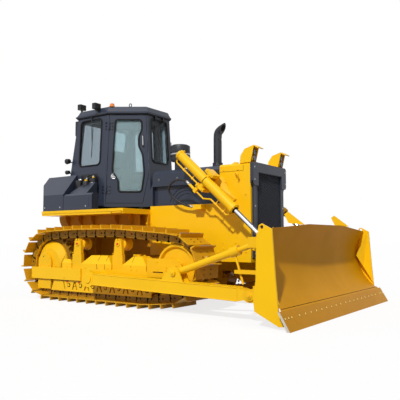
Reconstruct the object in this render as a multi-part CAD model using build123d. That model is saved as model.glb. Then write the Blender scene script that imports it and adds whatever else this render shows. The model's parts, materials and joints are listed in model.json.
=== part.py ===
from build123d import *
import math
import os

# A crawler bulldozer: two tracks, a cab, a straight tilt blade on two push arms, lift cylinders on
# the radiator guard, a screw brace on the right arm and a tilt cylinder on the left arm.
# Frame: +X forward, +Y to the machine's left, +Z up, origin on the ground below the middle.
# Millimetres. Pieces of one side are drawn for the right (-Y) and mirrored where both exist.

os.makedirs("parts", exist_ok=True)

# ---------------------------------------------------------------- driving sizes: tracks
GAUGE = 1880                 # centre to centre of the tracks
SHOE_WIDTH = 510
PITCH = 203.2                # pin to pin
RAIL_HALF = 57               # link height on each side of the pins
SHOE_PLATE = 12
GROUSER = 56                 # height of the bar under the shoe
RAIL_WIDTH = 45
RAIL_OFFSET = 75             # middle of a rail from the middle of the track
BUSHING_R, BUSHING_SIDES = 33, 5    # few-sided, so that a whole track stays light
SPROCKET_X, SPROCKET_Z = -1985, 568
SPROCKET_TEETH = 27          # half-pitch teeth: the chain seats on every second gap
SPROCKET_TIP_R = 462
SPROCKET_WIDTH = 72
IDLER_X, IDLER_Z = 578, 565  # the idler slides along X until the chain closes
IDLER_TREAD_R = 318
CARRIER_XS = (-1317, -457)
CARRIER_Z = 880
CARRIER_R, CARRIER_HALF, CARRIER_WAIST_R = 97, 90, 74
ROLLER_R = 98
ROLLER_COUNT = 7
ROLLER_FIRST_X, ROLLER_LAST_X = -1478, 122
ROLLING_GAP = 6.0            # between a wheel's tread and the rail

# ---------------------------------------------------------------- driving sizes: track frames
FRAME_IN, FRAME_OUT = 785, 1100      # |y| of a track frame's side faces
FRAME_LOW, FRAME_HIGH = 306, 505
COVER_TOP, COVER_BEND_Z, COVER_BEND_Y = 708, 583, 1020
COVER_REAR_X, COVER_FRONT_X = -1900, 105
COVER_GAP = 110              # the covers stop this far from the middle of each roller post
PLATE = 25                   # thick plates of frames and brackets
FRAME_REAR_X = -2358
BAND_FRONT_X = -1193         # the outer plate on the rear end stops here
GUARD_DROP = 156             # how far the roller guards reach below the frame
GUARD_THICK = 20
SLOT_WIDTH, SLOT_TOP, SLOT_FOOT = 26, 124, 86    # the slots beside each roller: offsets from it
POST_HALF, POST_FOOT_Z, POST_TOP_Z, POST_THICK = 65, 730, 956, 50
TRUNNION_X, TRUNNION_Z = -770, 385   # the push arms swing about this line
TRUNNION_R = 62
HUB_R, CONE_R, CONE_Y = 345, 235, 1062      # the final drive's hub and its outer cone
BEARING_X, BEARING_Z, BEARING_R = -2065, 585, 155
BEARING_LOW = 165
YOKE_REAR_X = 120
YOKE_PLATE = 38
IDLER_AXLE_R = 45

# ---------------------------------------------------------------- driving sizes: blade and arms
ARM_Y = 1290                 # |y| of the middle of an arm
ARM_WIDTH, ARM_HEIGHT = 150, 160
ARM_PIN_X, ARM_PIN_Z = 1933, 305     # the blade pitches about this line
ARM_PIN_R = 38
BRACE_REAR_X, BRACE_REAR_Z = 791, 527
BRACE_FRONT_X, BRACE_FRONT_Z = 1928, 893
BRACE_PIN_R = 26
EAR = 22                     # thickness of the ears round the braces and rods
BLADE_HALF = 1694
BLADE_TIP_X = 2570
EDGE_TOP_X, EDGE_TOP_Z = 2451, 200
EDGE_THICK = 28
END_PLATE_Y = 1610           # |y| of an end plate's outer face
END_PLATE = 22
BIT_Y = 1450                 # |y| where the end bits start
MOLDBOARD = 20
MOLD_TOP_X, MOLD_TOP_Z = 2303, 1137
MOLD_MID_X, MOLD_MID_Z = 2150, 680
MOLD_CORNER_Z = 1063         # height of the top edge at the end plates
MOLD_FLAT_HALF = 560         # half of the top edge's level middle

# ---------------------------------------------------------------- driving sizes: lift cylinders
LIFT_Y = 727
LIFT_TRUNNION_X, LIFT_TRUNNION_Z = 854, 1755
LIFT_EYE_X, LIFT_EYE_Z = 1911, 806
LIFT_TUBE_R, LIFT_ROD_R = 68, 32
LIFT_TUBE_FRONT, LIFT_TUBE_REAR = 624, 612   # tube ends from its trunnion, along the cylinder

LIFT_ROD_TAIL = 115                          # the rod's inner end, from the trunnion
LIFT_EYE_R, LIFT_EYE_HALF = 66, 32
LIFT_SHAFT_R = 40                            # the yoke turns on this shaft
YOKE_REACH, YOKE_ARM, YOKE_HALF = 30, 48, 78 # gap to the tube, thickness and half width
LIFT_BOSS_R, LIFT_BOSS_LONG = 78, 52
LIFT_PIPE_R, LIFT_PIPE_DROP, LIFT_PORT_DROP = 11, 120, 213
HOSE_R = 15
MANIFOLD = (140, 38, 44)      # length, reach past the hose's middle, depth below it

# ---------------------------------------------------------------- driving sizes: body
HULL_LOW = 400               # ground clearance
RAIL_IN, RAIL_OUT = 330, 400         # |y| of the long hull rails
RAIL_LOW, RAIL_HIGH = 700, 1140
HULL_REAR_X = -1500          # the hull rails end and the rear case starts
BELLY_HALF, BELLY_Z = 250, 440       # the belly plate's flat middle and where its flanks start
EQUALIZER_X, EQUALIZER_HALF = -90, 70
CASE_HALF, CASE_REAR_X = 520, -2330
CASE_LOW, CASE_TOP, CASE_CORNER = 420, 1180, 170
JAW_HALF, JAW_HEIGHT, JAW_GAP, JAW_DEPTH = 90, 95, 90, 140
ENGINE_HALF = 300
ENGINE_XS, ENGINE_ZS = (-250, 860), (760, 1700)
HOOD_HALF = 480
HOOD_TOP = 1994
HOOD_SIDE = 244              # height of the hood's folded sides
HOOD_FOLD = 60
HOOD_SUNK = 60               # how far the lower doors stand back
HOOD_REAR_X, GUARD_REAR_X = -314, 916
GUARD_FRONT_X, GRILLE_FRONT_X = 1417, 1467
GUARD_LOW, GUARD_WALL, GUARD_DEPTH = 640, 40, 200
GRILLE_HALF, GRILLE_LOWER_HALF = 488, 440
GRILLE_STEP_X, GRILLE_STEP_Z = 1445, 1680    # the lower part stands back below the step
GRILLE_BORDER, GRILLE_BAND = 96, 130         # the frame's width, and the blank band's height
GRILLE_SLOTS = 26
PANEL_LOW, PANEL_HIGH = 710, 1453    # the yellow side panels under the hood
LAMP_Y, LAMP_HALF, LAMP_R = 400, 75, 42      # |y| of the lamps on the guard, and their bracket's half width
SHEET = 12
FENDER_Z, FENDER_THICK = 1330, 75
FENDER_HALF, FENDER_LIP = 1085, 8    # the lower half of the edge stands back by the lip
FENDER_FRONT_X, FENDER_REAR_X = -357, -2185
APRON_Y, APRON_LOW = 655, 1100
TANK_FRONT_X, TANK_REAR_X = -1691, -2385
TANK_HALF, TANK_SHOULDER_Z, TANK_TOP = 1060, 1666, 2000
TANK_TOP_HALF = 783
BOX_FRONT_X, BOX_WIDTH, BOX_LID_Z = -1036, 140, 1860

# ---------------------------------------------------------------- driving sizes: cab
CAB_BASE_Z, CAB_WALL_TOP, CAB_TOP = 1510, 2977, 3092
CAB_FLOOR_THICK = 48
CAB_WALL = 50
CAB_FRONT_X, CAB_REAR_X = -506, -2010    # outer faces at the cab's base
CAB_HALF, CAB_FRONT_HALF = 725, 287      # |y| of the side walls and of the front corners
DOOR_ANGLE = 35.4                        # the door's wall to the X axis, in plan
FRONT_LEAN, DOOR_LEAN, SIDE_LEAN, REAR_LEAN = 4.0, 2.3, 2.9, 7.4
PANE = 8
FRONT_SILL, SIDE_SILL = 680, 640         # the windows' lower edges above the cab's base
WINDOW_CORNER_R, WINDOW_R = 70, 42       # corners of the fixed windows and of the door's window
DOOR_GAP = 6
DOOR_EDGE, DOOR_POST = 20, 32            # the leaf's distance from its front and rear corners
DOOR_FOOT, DOOR_HEAD = 14, 26            # and from the foot and the top of the wall
DOOR_KNEE, DOOR_TOE = 487, 138           # below the knee the front edge slants to the toe
HINGE_OUT, HINGE_R, HINGE_PIN_R, HINGE_HALF = 16, 14, 7, 60
HINGE_HEIGHTS = (228, 1263)              # of the hinges' middles above the cab's base
ROOF_EAVE, GUTTER = 30, 26
ROOF_EYE, ROOF_EYE_R, ROOF_EYE_WIRE = (-865, -400), 26, 7    # the lifting eye's place on the roof
WORK_LAMPS = ((-1330, -708, 3112, 3040, 55), (-1840, -560, 3190, CAB_TOP, 60))  # middle, foot's height and reach
WORK_LAMP, WORK_LAMP_RIBS = (38, 62, 46), 5  # half depth, half width and half height
BEACON, BEACON_R, BEACON_HIGH = (-1100, -580), 42, 58

HITCH_X, HITCH_Z, HITCH_R = -2520, 520, 27
REAR_X = -2570
EXHAUST_X, EXHAUST_R, EXHAUST_TOP = 569, 65, 2567
PRECLEANER_X, PRECLEANER_Y, PRECLEANER_R = 83, -300, 165
PRECLEANER_STEM, PRECLEANER_BOWL, PRECLEANER_HIGH = 172, 306, 391    # heights above the hood


# ---------------------------------------------------------------- small makers of shapes
def side_plate(outline, y_low, y_high):
    """An outline in X and Z, as thick as y_low to y_high."""
    face = Plane.XZ * make_face(Polyline(*outline, close=True))
    return Pos(0, y_high, 0) * extrude(face, amount=y_high - y_low, dir=(0, -1, 0))


def cross_plate(outline, x_low, x_high):
    """An outline in Y and Z, as long as x_low to x_high."""
    face = Plane.YZ * make_face(Polyline(*outline, close=True))
    return Pos(x_low, 0, 0) * extrude(face, amount=x_high - x_low, dir=(1, 0, 0))


def level_plate(outline, z_low, z_high):
    """An outline in X and Y, as high as z_low to z_high."""
    face = make_face(Polyline(*outline, close=True))
    return Pos(0, 0, z_low) * extrude(face, amount=z_high - z_low, dir=(0, 0, 1))


def block(x_span, y_span, z_span):
    """A box between two values on each axis."""
    spans = (x_span, y_span, z_span)
    middle = [(low + high) / 2 for low, high in spans]
    return Pos(*middle) * Box(*[high - low for low, high in spans])


def bar(start, end, radius):
    """A round bar between two points."""
    run = Vector(*end) - Vector(*start)
    cylinder = Cylinder(radius, run.length, align=(Align.CENTER, Align.CENTER, Align.MIN))
    return Plane(origin=start, z_dir=run) * cylinder


def disc(x, z, y_low, y_high, radius):
    """A round disc whose axis is along Y."""
    return bar((x, y_low, z), (x, y_high, z), radius)


def turned(x, y, z, profile):
    """A wheel about an axis along Y, from a closed profile of (radius, offset along Y)."""
    return Pos(x, y, z) * revolve(make_face(Polyline(*profile, close=True)), Axis.Y)


def both_sides(shape):
    """The right-hand shape and its mirror image on the left."""
    return [shape, mirror(shape, about=Plane.XZ)]


def left_of(shape):
    return mirror(shape, about=Plane.XZ)


def write(name, *shapes):
    solids = [solid for shape in shapes for solid in shape.solids()]
    export_step(Compound(children=solids), f"parts/{name}.step")


def polyhedron(*faces):
    """A solid from its flat faces, each a list of corners."""
    return Solid(Shell([make_face(Polyline(*corners, close=True)).face() for corners in faces]))


def along(start, end, distance):
    """A point on the line from start to end, at a distance from start."""
    reach = math.hypot(end[0] - start[0], end[1] - start[1])
    return tuple(s + (e - s) * distance / reach for s, e in zip(start, end))


# ---------------------------------------------------------------- chain path
SPROCKET_PIN_R = PITCH / 2 / math.sin(math.pi / (SPROCKET_TEETH / 2))
SHOE_DEPTH = RAIL_HALF + SHOE_PLATE + GROUSER
ROLLER_Z = SHOE_DEPTH + RAIL_HALF + ROLLING_GAP + ROLLER_R
IDLER_PIN_R = math.hypot(IDLER_TREAD_R + ROLLING_GAP + RAIL_HALF, PITCH / 2)


def wheels(idler_x):
    """The circles that the pins follow, clockwise as seen from the right: x, z, radius."""
    carrier_pin_r = CARRIER_R + ROLLING_GAP + RAIL_HALF
    roller_pin_r = ROLLER_R + ROLLING_GAP + RAIL_HALF
    return [
        (SPROCKET_X, SPROCKET_Z, SPROCKET_PIN_R),
        *[(x, CARRIER_Z, carrier_pin_r) for x in CARRIER_XS],
        (idler_x, IDLER_Z, IDLER_PIN_R),
        (ROLLER_LAST_X, ROLLER_Z, roller_pin_r),
        (ROLLER_FIRST_X, ROLLER_Z, roller_pin_r),
    ]


def chain_runs(idler_x):
    """Arcs (x, z, radius, first angle, sweep) and straights (start, end), each with its pitches."""
    rounds = wheels(idler_x)
    count = len(rounds)
    normals = []
    for k, (x, z, r) in enumerate(rounds):
        x2, z2, r2 = rounds[(k + 1) % count]
        lean = math.acos((r - r2) / math.hypot(x2 - x, z2 - z))
        normals.append(math.atan2(z2 - z, x2 - x) + lean)
    runs = []
    for k, (x, z, r) in enumerate(rounds):
        x2, z2, r2 = rounds[(k + 1) % count]
        sweep = (normals[k - 1] - normals[k]) % (2 * math.pi)
        runs.append((sweep / (2 * math.asin(PITCH / 2 / r)), (x, z, r, normals[k - 1], sweep)))
        cosine, sine = math.cos(normals[k]), math.sin(normals[k])
        start = (x + r * cosine, z + r * sine)
        end = (x2 + r2 * cosine, z2 + r2 * sine)
        runs.append((math.dist(start, end) / PITCH, (start, end)))
    return runs


def chain_point(runs, pitches):
    """The place of a pin, a number of pitches along the chain."""
    for length, run in runs:
        if pitches <= length:
            share = pitches / length
            if len(run) == 2:
                return tuple(a + (b - a) * share for a, b in zip(*run))
            x, z, r, first, sweep = run
            angle = first - sweep * share
            return x + r * math.cos(angle), z + r * math.sin(angle)
        pitches -= length
    return chain_point(runs, 0)


def chain_pitches(idler_x):
    return sum(length for length, run in chain_runs(idler_x))


LINK_COUNT = round(chain_pitches(IDLER_X))
idler_x = IDLER_X
for step in range(8):
    idler_x += (LINK_COUNT - chain_pitches(idler_x)) * PITCH / 2
CHAIN = chain_runs(idler_x)
PINS = [chain_point(CHAIN, k) for k in range(LINK_COUNT)]


def offset_pins(distance):
    """The chain's line of pins, moved outwards by a distance."""
    points = []
    for k, (x, z) in enumerate(PINS):
        before, after = PINS[k - 1], PINS[(k + 1) % LINK_COUNT]
        back = math.atan2(z - before[1], x - before[0])
        ahead = math.atan2(after[1] - z, after[0] - x)
        half_turn = math.remainder(ahead - back, 2 * math.pi) / 2
        normal = back + half_turn + math.pi / 2
        reach = distance / math.cos(half_turn)
        points.append((x + reach * math.cos(normal), z + reach * math.sin(normal)))
    return points


# ---------------------------------------------------------------- track
SHOE_LENGTH = PITCH - 7
GROUSER_BASE, GROUSER_TIP = 26, 16
TRACK_Y = GAUGE / 2


def shoe(k):
    """One shoe of the right track, on the link between two pins."""
    (x1, z1), (x2, z2) = PINS[k], PINS[(k + 1) % LINK_COUNT]
    ux, uz = (x2 - x1) / math.dist(PINS[k], (x2, z2)), (z2 - z1) / math.dist(PINS[k], (x2, z2))
    half = SHOE_LENGTH / 2
    plate_top = RAIL_HALF + SHOE_PLATE
    outline = [
        (-half, RAIL_HALF), (half, RAIL_HALF), (half, plate_top),
        (GROUSER_BASE - half, plate_top), (GROUSER_TIP - half, SHOE_DEPTH), (-half, SHOE_DEPTH),
    ]
    middle = ((x1 + x2) / 2, (z1 + z2) / 2)
    points = [(middle[0] + s * ux - h * uz, middle[1] + s * uz + h * ux) for s, h in outline]
    return side_plate(points, -TRACK_Y - SHOE_WIDTH / 2, -TRACK_Y + SHOE_WIDTH / 2)


def track():
    """The right track: shoes on two link rails with the bushings between them."""
    outer, inner = offset_pins(RAIL_HALF), offset_pins(-RAIL_HALF)
    ring = side_plate(outer, -RAIL_WIDTH / 2, RAIL_WIDTH / 2)
    ring -= side_plate(inner, -RAIL_WIDTH, RAIL_WIDTH)
    rails = [Pos(0, -TRACK_Y + side * RAIL_OFFSET, 0) * ring for side in (-1, 1)]
    half_gap = RAIL_OFFSET - RAIL_WIDTH / 2
    bushing = extrude(RegularPolygon(BUSHING_R, BUSHING_SIDES), amount=2 * half_gap)
    bushings = [
        Pos(x, -TRACK_Y + half_gap, z) * (Rot(90, 0, 0) * bushing) for x, z in PINS
    ]
    shoes = [shoe(k) for k in range(LINK_COUNT)]
    return rails[0].fuse(rails[1], *bushings, *shoes)


def sprocket():
    """The right sprocket's toothed rim, bolted round the final drive."""
    x0, z0 = SPROCKET_X, SPROCKET_Z
    first = CHAIN[0][1][3]
    step = 2 * math.pi / SPROCKET_TEETH
    seat_r = BUSHING_R + 7
    tooth_tip_half = 0.12 * step
    points = []
    for k in range(SPROCKET_TEETH):
        gap = first - k * step
        points.append((SPROCKET_TIP_R, gap + step / 2 - tooth_tip_half))
        for swing in (70, 25, -25, -70):
            tilt = math.radians(swing)
            along_r = SPROCKET_PIN_R - seat_r * math.cos(tilt)
            across = seat_r * math.sin(tilt)
            points.append((math.hypot(along_r, across), gap + math.atan2(across, along_r)))
        points.append((SPROCKET_TIP_R, gap - step / 2 + tooth_tip_half))
    outline = [(x0 + r * math.cos(a), z0 + r * math.sin(a)) for r, a in points]
    half = SPROCKET_WIDTH / 2
    rim = side_plate(outline, -TRACK_Y - half, -TRACK_Y + half)
    return rim - disc(x0, z0, -TRACK_Y - 2 * half, -TRACK_Y + 2 * half, HUB_R)


# ---------------------------------------------------------------- final drive and bearing
def final_drive():
    """The right final drive: case, hub inside the sprocket and its outer cone."""
    y_hub = TRACK_Y + SPROCKET_WIDTH / 2
    case_r = HUB_R - 45
    profile = [
        (0, -CASE_HALF), (case_r, -CASE_HALF), (case_r + 30, -CASE_HALF - 60),
        (HUB_R - 10, -TRACK_Y + 120), (HUB_R, -TRACK_Y + 120), (HUB_R, -y_hub - 22),
        (CONE_R, -CONE_Y), (0, -CONE_Y),
    ]
    return turned(SPROCKET_X, 0, SPROCKET_Z, profile)


def outer_bearing():
    """The upright casting that carries the outer end of the right final drive."""
    body = side_plate([(BEARING_X - BEARING_R, BEARING_LOW), (BEARING_X + BEARING_R, BEARING_LOW),
                       (BEARING_X + BEARING_R, BEARING_Z), (BEARING_X - BEARING_R, BEARING_Z)],
                      -FRAME_OUT, -CONE_Y)
    return body + disc(BEARING_X, BEARING_Z, -FRAME_OUT, -CONE_Y, BEARING_R)


# ---------------------------------------------------------------- track frame
FRONT_OF_TEETH = SPROCKET_X + SPROCKET_TIP_R + 40


def cover(rear_x, front_x):
    """One of the right frame's covers: bent outwards over the frame, with slanting ends."""
    slant = COVER_TOP - FRAME_HIGH - 60
    side = side_plate([(rear_x, FRAME_HIGH - 1), (rear_x, COVER_BEND_Z), (rear_x + slant, COVER_TOP),
                       (front_x - slant, COVER_TOP), (front_x, COVER_BEND_Z), (front_x, FRAME_HIGH - 1)],
                      -FRAME_OUT, -FRAME_IN)
    across = cross_plate([(-FRAME_OUT, FRAME_HIGH - 1), (-FRAME_OUT, COVER_BEND_Z), (-COVER_BEND_Y, COVER_TOP),
                          (-FRAME_IN - 80, COVER_TOP), (-FRAME_IN, COVER_BEND_Z), (-FRAME_IN, FRAME_HIGH - 1)],
                         rear_x, front_x)
    return side & across


def track_frame():
    """The right track frame: a channel over the rollers, its covers and the outer rear plate."""
    web_low = ROLLER_Z + ROLLER_R + 24
    channel = [
        (-FRAME_IN, FRAME_LOW), (-FRAME_IN, FRAME_HIGH), (-FRAME_OUT, FRAME_HIGH), (-FRAME_OUT, FRAME_LOW),
        (-FRAME_OUT + PLATE, FRAME_LOW), (-FRAME_OUT + PLATE, web_low),
        (-FRAME_IN - PLATE, web_low), (-FRAME_IN - PLATE, FRAME_LOW),
    ]
    frame = cross_plate(channel, FRONT_OF_TEETH, YOKE_REAR_X)
    ends = [COVER_REAR_X, *[x + side * COVER_GAP for x in CARRIER_XS for side in (-1, 1)], COVER_FRONT_X]
    for rear_x, front_x in zip(ends[::2], ends[1::2]):
        part = cover(rear_x, front_x)
        if rear_x < FRONT_OF_TEETH:
            # beside the sprocket only the cover's outer strip is left
            part -= block((rear_x - 1, FRONT_OF_TEETH), (-CONE_Y, 0), (0, COVER_TOP + 1))
            part -= disc(SPROCKET_X, SPROCKET_Z, -2 * FRAME_OUT, 0, HUB_R + 12)
        frame += part
    frame += block((FRAME_REAR_X, BAND_FRONT_X), (-FRAME_OUT - PLATE, -FRAME_OUT), (FRAME_LOW + 15, FRAME_HIGH))
    frame += disc(TRUNNION_X, TRUNNION_Z, -ARM_Y - ARM_WIDTH / 2 - 12, -FRAME_OUT, TRUNNION_R)
    return frame + disc(TRUNNION_X, TRUNNION_Z, -FRAME_OUT - 60, -FRAME_OUT, TRUNNION_R + 45)


ROLLER_SPACING = (ROLLER_LAST_X - ROLLER_FIRST_X) / (ROLLER_COUNT - 1)
ROLLER_XS = [ROLLER_FIRST_X + k * ROLLER_SPACING for k in range(ROLLER_COUNT)]


def roller_guards():
    """The two guards of the right track frame, each slotted on both sides of every roller."""
    low, high = FRAME_LOW - GUARD_DROP, FRAME_LOW
    front_x = ROLLER_LAST_X + ROLLER_SPACING / 2
    outer_rear_x, inner_rear_x = BEARING_X + BEARING_R + 20, SPROCKET_X + HUB_R + 20
    guards = []
    for y_low, rear_x in ((-FRAME_OUT, outer_rear_x), (-FRAME_IN - GUARD_THICK, inner_rear_x)):
        outline = [(rear_x + 60, high), (rear_x, low), (front_x - 60, low), (front_x, high)]
        guard = side_plate(outline, y_low, y_low + GUARD_THICK)
        for x in ROLLER_XS:
            for side in (-1, 1):
                top, foot = x + side * SLOT_TOP, x + side * SLOT_FOOT
                slot = [(top - SLOT_WIDTH / 2, high - 14), (top + SLOT_WIDTH / 2, high - 14),
                        (foot + SLOT_WIDTH / 2, low + 26), (foot - SLOT_WIDTH / 2, low + 26)]
                guard -= side_plate(slot, y_low - 1, y_low + GUARD_THICK + 1)
        guards.append(guard)
    return guards


def track_rollers():
    """The right track's bottom rollers."""
    y_out, y_in = -FRAME_OUT + PLATE + 4, -FRAME_IN - PLATE - 4
    return [disc(x, ROLLER_Z, y_out, y_in, ROLLER_R) for x in ROLLER_XS]


def idler():
    """The right front idler: a dished wheel with a guiding rib between its treads."""
    rib, rim, half, dish = IDLER_TREAD_R + 27, IDLER_TREAD_R - 30, 104, 74
    right = [(IDLER_AXLE_R + 1, -half + 4), (2.1 * IDLER_AXLE_R, -half + 4), (2.6 * IDLER_AXLE_R, -dish),
             (rim - 20, -dish + 8), (rim, -half), (IDLER_TREAD_R, -half), (IDLER_TREAD_R, -40), (rib, -30)]
    return turned(idler_x, -TRACK_Y, IDLER_Z, right + [(r, -y) for r, y in reversed(right)])


def idler_yoke():
    """The fork that carries the right idler on the front of its track frame."""
    low, high, nose = FRAME_HIGH - 75, COVER_TOP - 18, idler_x + 140
    cheeks = [(YOKE_REAR_X, low), (idler_x - 60, low), (nose, IDLER_Z - 90), (nose, IDLER_Z + 60),
              (nose - 60, IDLER_Z + 95), (idler_x - 20, high), (YOKE_REAR_X, high)]
    fork = side_plate(cheeks, -FRAME_OUT, -FRAME_OUT + YOKE_PLATE)
    fork += side_plate(cheeks, -FRAME_IN - YOKE_PLATE, -FRAME_IN)
    bridge_x = idler_x - IDLER_TREAD_R - 90
    fork += block((YOKE_REAR_X, bridge_x), (-FRAME_OUT, -FRAME_IN), (FRAME_HIGH - 60, high - 20))
    return fork + disc(idler_x, IDLER_Z, -FRAME_OUT, -FRAME_IN, IDLER_AXLE_R)


def carrier_rollers():
    """The right track's two upper rollers, each on its post."""
    shapes = []
    half, waist = CARRIER_HALF, 46
    profile = [(0, -half), (CARRIER_R - 30, -half), (CARRIER_R, -half + 12), (CARRIER_R, -waist - 4),
               (CARRIER_WAIST_R, -waist)]
    post_in = -TRACK_Y - half
    foot_half = POST_HALF + 20
    for x in CARRIER_XS:
        roller = turned(x, -TRACK_Y, CARRIER_Z, profile + [(r, -y) for r, y in reversed(profile)])
        upright = side_plate([(x - foot_half, POST_FOOT_Z), (x + foot_half, POST_FOOT_Z), (x + POST_HALF, POST_TOP_Z - 30),
                              (x + POST_HALF - 25, POST_TOP_Z), (x - POST_HALF + 25, POST_TOP_Z),
                              (x - POST_HALF, POST_TOP_Z - 30)], post_in - POST_THICK, post_in)
        foot = block((x - foot_half - 15, x + foot_half + 15), (post_in - POST_THICK - 8, post_in - 4),
                     (FRAME_HIGH, POST_FOOT_Z))
        shapes.append(roller + upright + foot)
    return shapes


def equalizer_bar():
    """The cross bar that joins the track frames under the engine."""
    low, high = FRAME_HIGH + 55, RAIL_LOW - 20
    arch = [(-FRAME_IN, low), (-FRAME_IN, high), (-RAIL_OUT, RAIL_LOW), (0, RAIL_LOW - 40), (RAIL_OUT, RAIL_LOW),
            (FRAME_IN, high), (FRAME_IN, low), (RAIL_IN, low), (0, low - 40), (-RAIL_IN, low)]
    return cross_plate(arch, EQUALIZER_X - EQUALIZER_HALF, EQUALIZER_X + EQUALIZER_HALF)


# ---------------------------------------------------------------- hull
def main_frame():
    """The two long hull rails with the belly plate between them."""
    rail = side_plate([(HULL_REAR_X, RAIL_LOW), (HULL_REAR_X, RAIL_HIGH), (GUARD_REAR_X, RAIL_HIGH),
                       (GUARD_REAR_X, RAIL_LOW)], -RAIL_OUT, -RAIL_IN)
    flank = RAIL_LOW - 60
    right = [(0, HULL_LOW), (-BELLY_HALF, HULL_LOW), (-BELLY_HALF, BELLY_Z), (-RAIL_OUT, flank), (-RAIL_OUT, RAIL_LOW)]
    belly = cross_plate(right + [(-y, z) for y, z in reversed(right)][:-1], HULL_REAR_X,
                        EQUALIZER_X - EQUALIZER_HALF - 40)
    front = block((EQUALIZER_X + EQUALIZER_HALF + 40, GUARD_REAR_X), (-RAIL_OUT, RAIL_OUT), (flank, RAIL_LOW))
    return rail + left_of(rail) + belly + front


def rear_case():
    """The steering and transmission case with the drawbar at its back."""
    chamfer = CASE_REAR_X + 0.9 * CASE_CORNER
    outline = [(HULL_REAR_X, CASE_LOW), (HULL_REAR_X, CASE_TOP), (chamfer, CASE_TOP),
               (CASE_REAR_X, CASE_TOP - CASE_CORNER), (CASE_REAR_X, CASE_LOW + CASE_CORNER), (chamfer, CASE_LOW)]
    case = side_plate(outline, -CASE_HALF, CASE_HALF)
    jaw_root = CASE_REAR_X - 70
    jaw = [(CASE_REAR_X + 1, HITCH_Z + JAW_HEIGHT + 35), (jaw_root, HITCH_Z + JAW_HEIGHT), (REAR_X, HITCH_Z + JAW_HEIGHT),
           (REAR_X, HITCH_Z - JAW_HEIGHT), (jaw_root, HITCH_Z - JAW_HEIGHT), (CASE_REAR_X + 1, HITCH_Z - JAW_HEIGHT - 15)]
    case += side_plate(jaw, -JAW_HALF, JAW_HALF)
    case -= block((REAR_X - 1, REAR_X + JAW_DEPTH), (-JAW_HALF - 1, JAW_HALF + 1),
                  (HITCH_Z - JAW_GAP / 2, HITCH_Z + JAW_GAP / 2))
    return case - bar((HITCH_X, 0, HITCH_Z - 2 * JAW_HEIGHT), (HITCH_X, 0, HITCH_Z + 2 * JAW_HEIGHT), HITCH_R)


def engine():
    return block(ENGINE_XS, (-ENGINE_HALF, ENGINE_HALF), ENGINE_ZS)


# ---------------------------------------------------------------- hood and guard
def hood():
    """The hood: a folded top with its two side panels, the sunken doors below them and the rear cheeks."""
    half, inner = HOOD_HALF, HOOD_HALF - SHEET
    drop, fold = HOOD_TOP - HOOD_SIDE, HOOD_FOLD
    right = [(-inner, drop), (-half, drop), (-half, HOOD_TOP - fold), (-half + fold, HOOD_TOP)]
    under = [(-half + fold + 6, HOOD_TOP - SHEET), (-inner, HOOD_TOP - fold - 6)]
    section = right + [(-y, z) for y, z in reversed(right)] + [(-y, z) for y, z in reversed(under)] + under
    shape = cross_plate(section, HOOD_REAR_X, GUARD_REAR_X)
    sunk = half - HOOD_SUNK
    door = block((HOOD_REAR_X, GUARD_REAR_X), (-sunk, -sunk + SHEET), (PANEL_HIGH, drop + SHEET))
    ledge = block((HOOD_REAR_X, GUARD_REAR_X), (-half, -sunk + SHEET), (drop, drop + SHEET))
    cheek = side_plate([(HOOD_REAR_X + 1, drop + 60), (HOOD_REAR_X - 73, drop - 106), (HOOD_REAR_X - 73, PANEL_HIGH + 2),
                        (HOOD_REAR_X + 1, PANEL_HIGH + 2)], -half, -sunk)
    for part in (door + ledge, cheek):
        shape += part + left_of(part)
    return shape


def side_panels():
    """The yellow panel on the right of the engine bay and the hull, with its hose manifold."""
    panel = block((FENDER_FRONT_X, GUARD_REAR_X), (-HOOD_HALF, -RAIL_OUT), (PANEL_LOW, PANEL_HIGH))
    x, y, z = HOSE_ROUTE[-1]
    return panel + block((x, x + MANIFOLD[0]), (y - MANIFOLD[1], -HOOD_HALF), (z - MANIFOLD[2], z + MANIFOLD[2] / 2))


def radiator_guard():
    """The heavy box round the radiator, open to the front."""
    edge = 30
    right = [(-HOOD_HALF, GUARD_LOW), (-HOOD_HALF, HOOD_TOP - edge), (-HOOD_HALF + edge, HOOD_TOP)]
    shape = cross_plate(right + [(-y, z) for y, z in reversed(right)], GUARD_REAR_X, GUARD_FRONT_X)
    inner = HOOD_HALF - GUARD_WALL
    return shape - block((GUARD_FRONT_X - GUARD_DEPTH, GUARD_FRONT_X + 1), (-inner, inner),
                         (GUARD_LOW + GUARD_WALL, HOOD_TOP - GUARD_WALL))


def grille():
    """The front grille: a frame, set back below its shoulders, round a slotted screen."""
    low, top, slope = GUARD_LOW + 60, HOOD_TOP + 3, 32
    right = [(-GRILLE_LOWER_HALF, low), (-GRILLE_LOWER_HALF, GRILLE_STEP_Z - slope),
             (-GRILLE_HALF, GRILLE_STEP_Z + slope), (-GRILLE_HALF, top - 24), (-GRILLE_HALF + 24, top)]
    frame = cross_plate(right + [(-y, z) for y, z in reversed(right)], GUARD_FRONT_X, GRILLE_FRONT_X)
    frame -= block((GRILLE_STEP_X, GRILLE_FRONT_X + 1), (-GRILLE_HALF, GRILLE_HALF), (low - 1, GRILLE_STEP_Z))
    half, floor, roof = GRILLE_LOWER_HALF - GRILLE_BORDER, low + GRILLE_BORDER, top - GRILLE_BAND
    frame -= block((GUARD_FRONT_X - 1, GRILLE_FRONT_X + 1), (-half, half), (floor, roof))
    screen_x = GUARD_FRONT_X + 8
    screen = block((GUARD_FRONT_X, screen_x), (-half - 1, half + 1), (floor - 1, roof + 1))
    pitch = (roof - floor) / GRILLE_SLOTS
    for k in range(GRILLE_SLOTS):
        z = floor + (k + 0.5) * pitch
        screen -= block((GUARD_FRONT_X - 1, screen_x + 1), (-half + 12, half - 12), (z - 0.32 * pitch, z + 0.32 * pitch))
    return frame + screen


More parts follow.
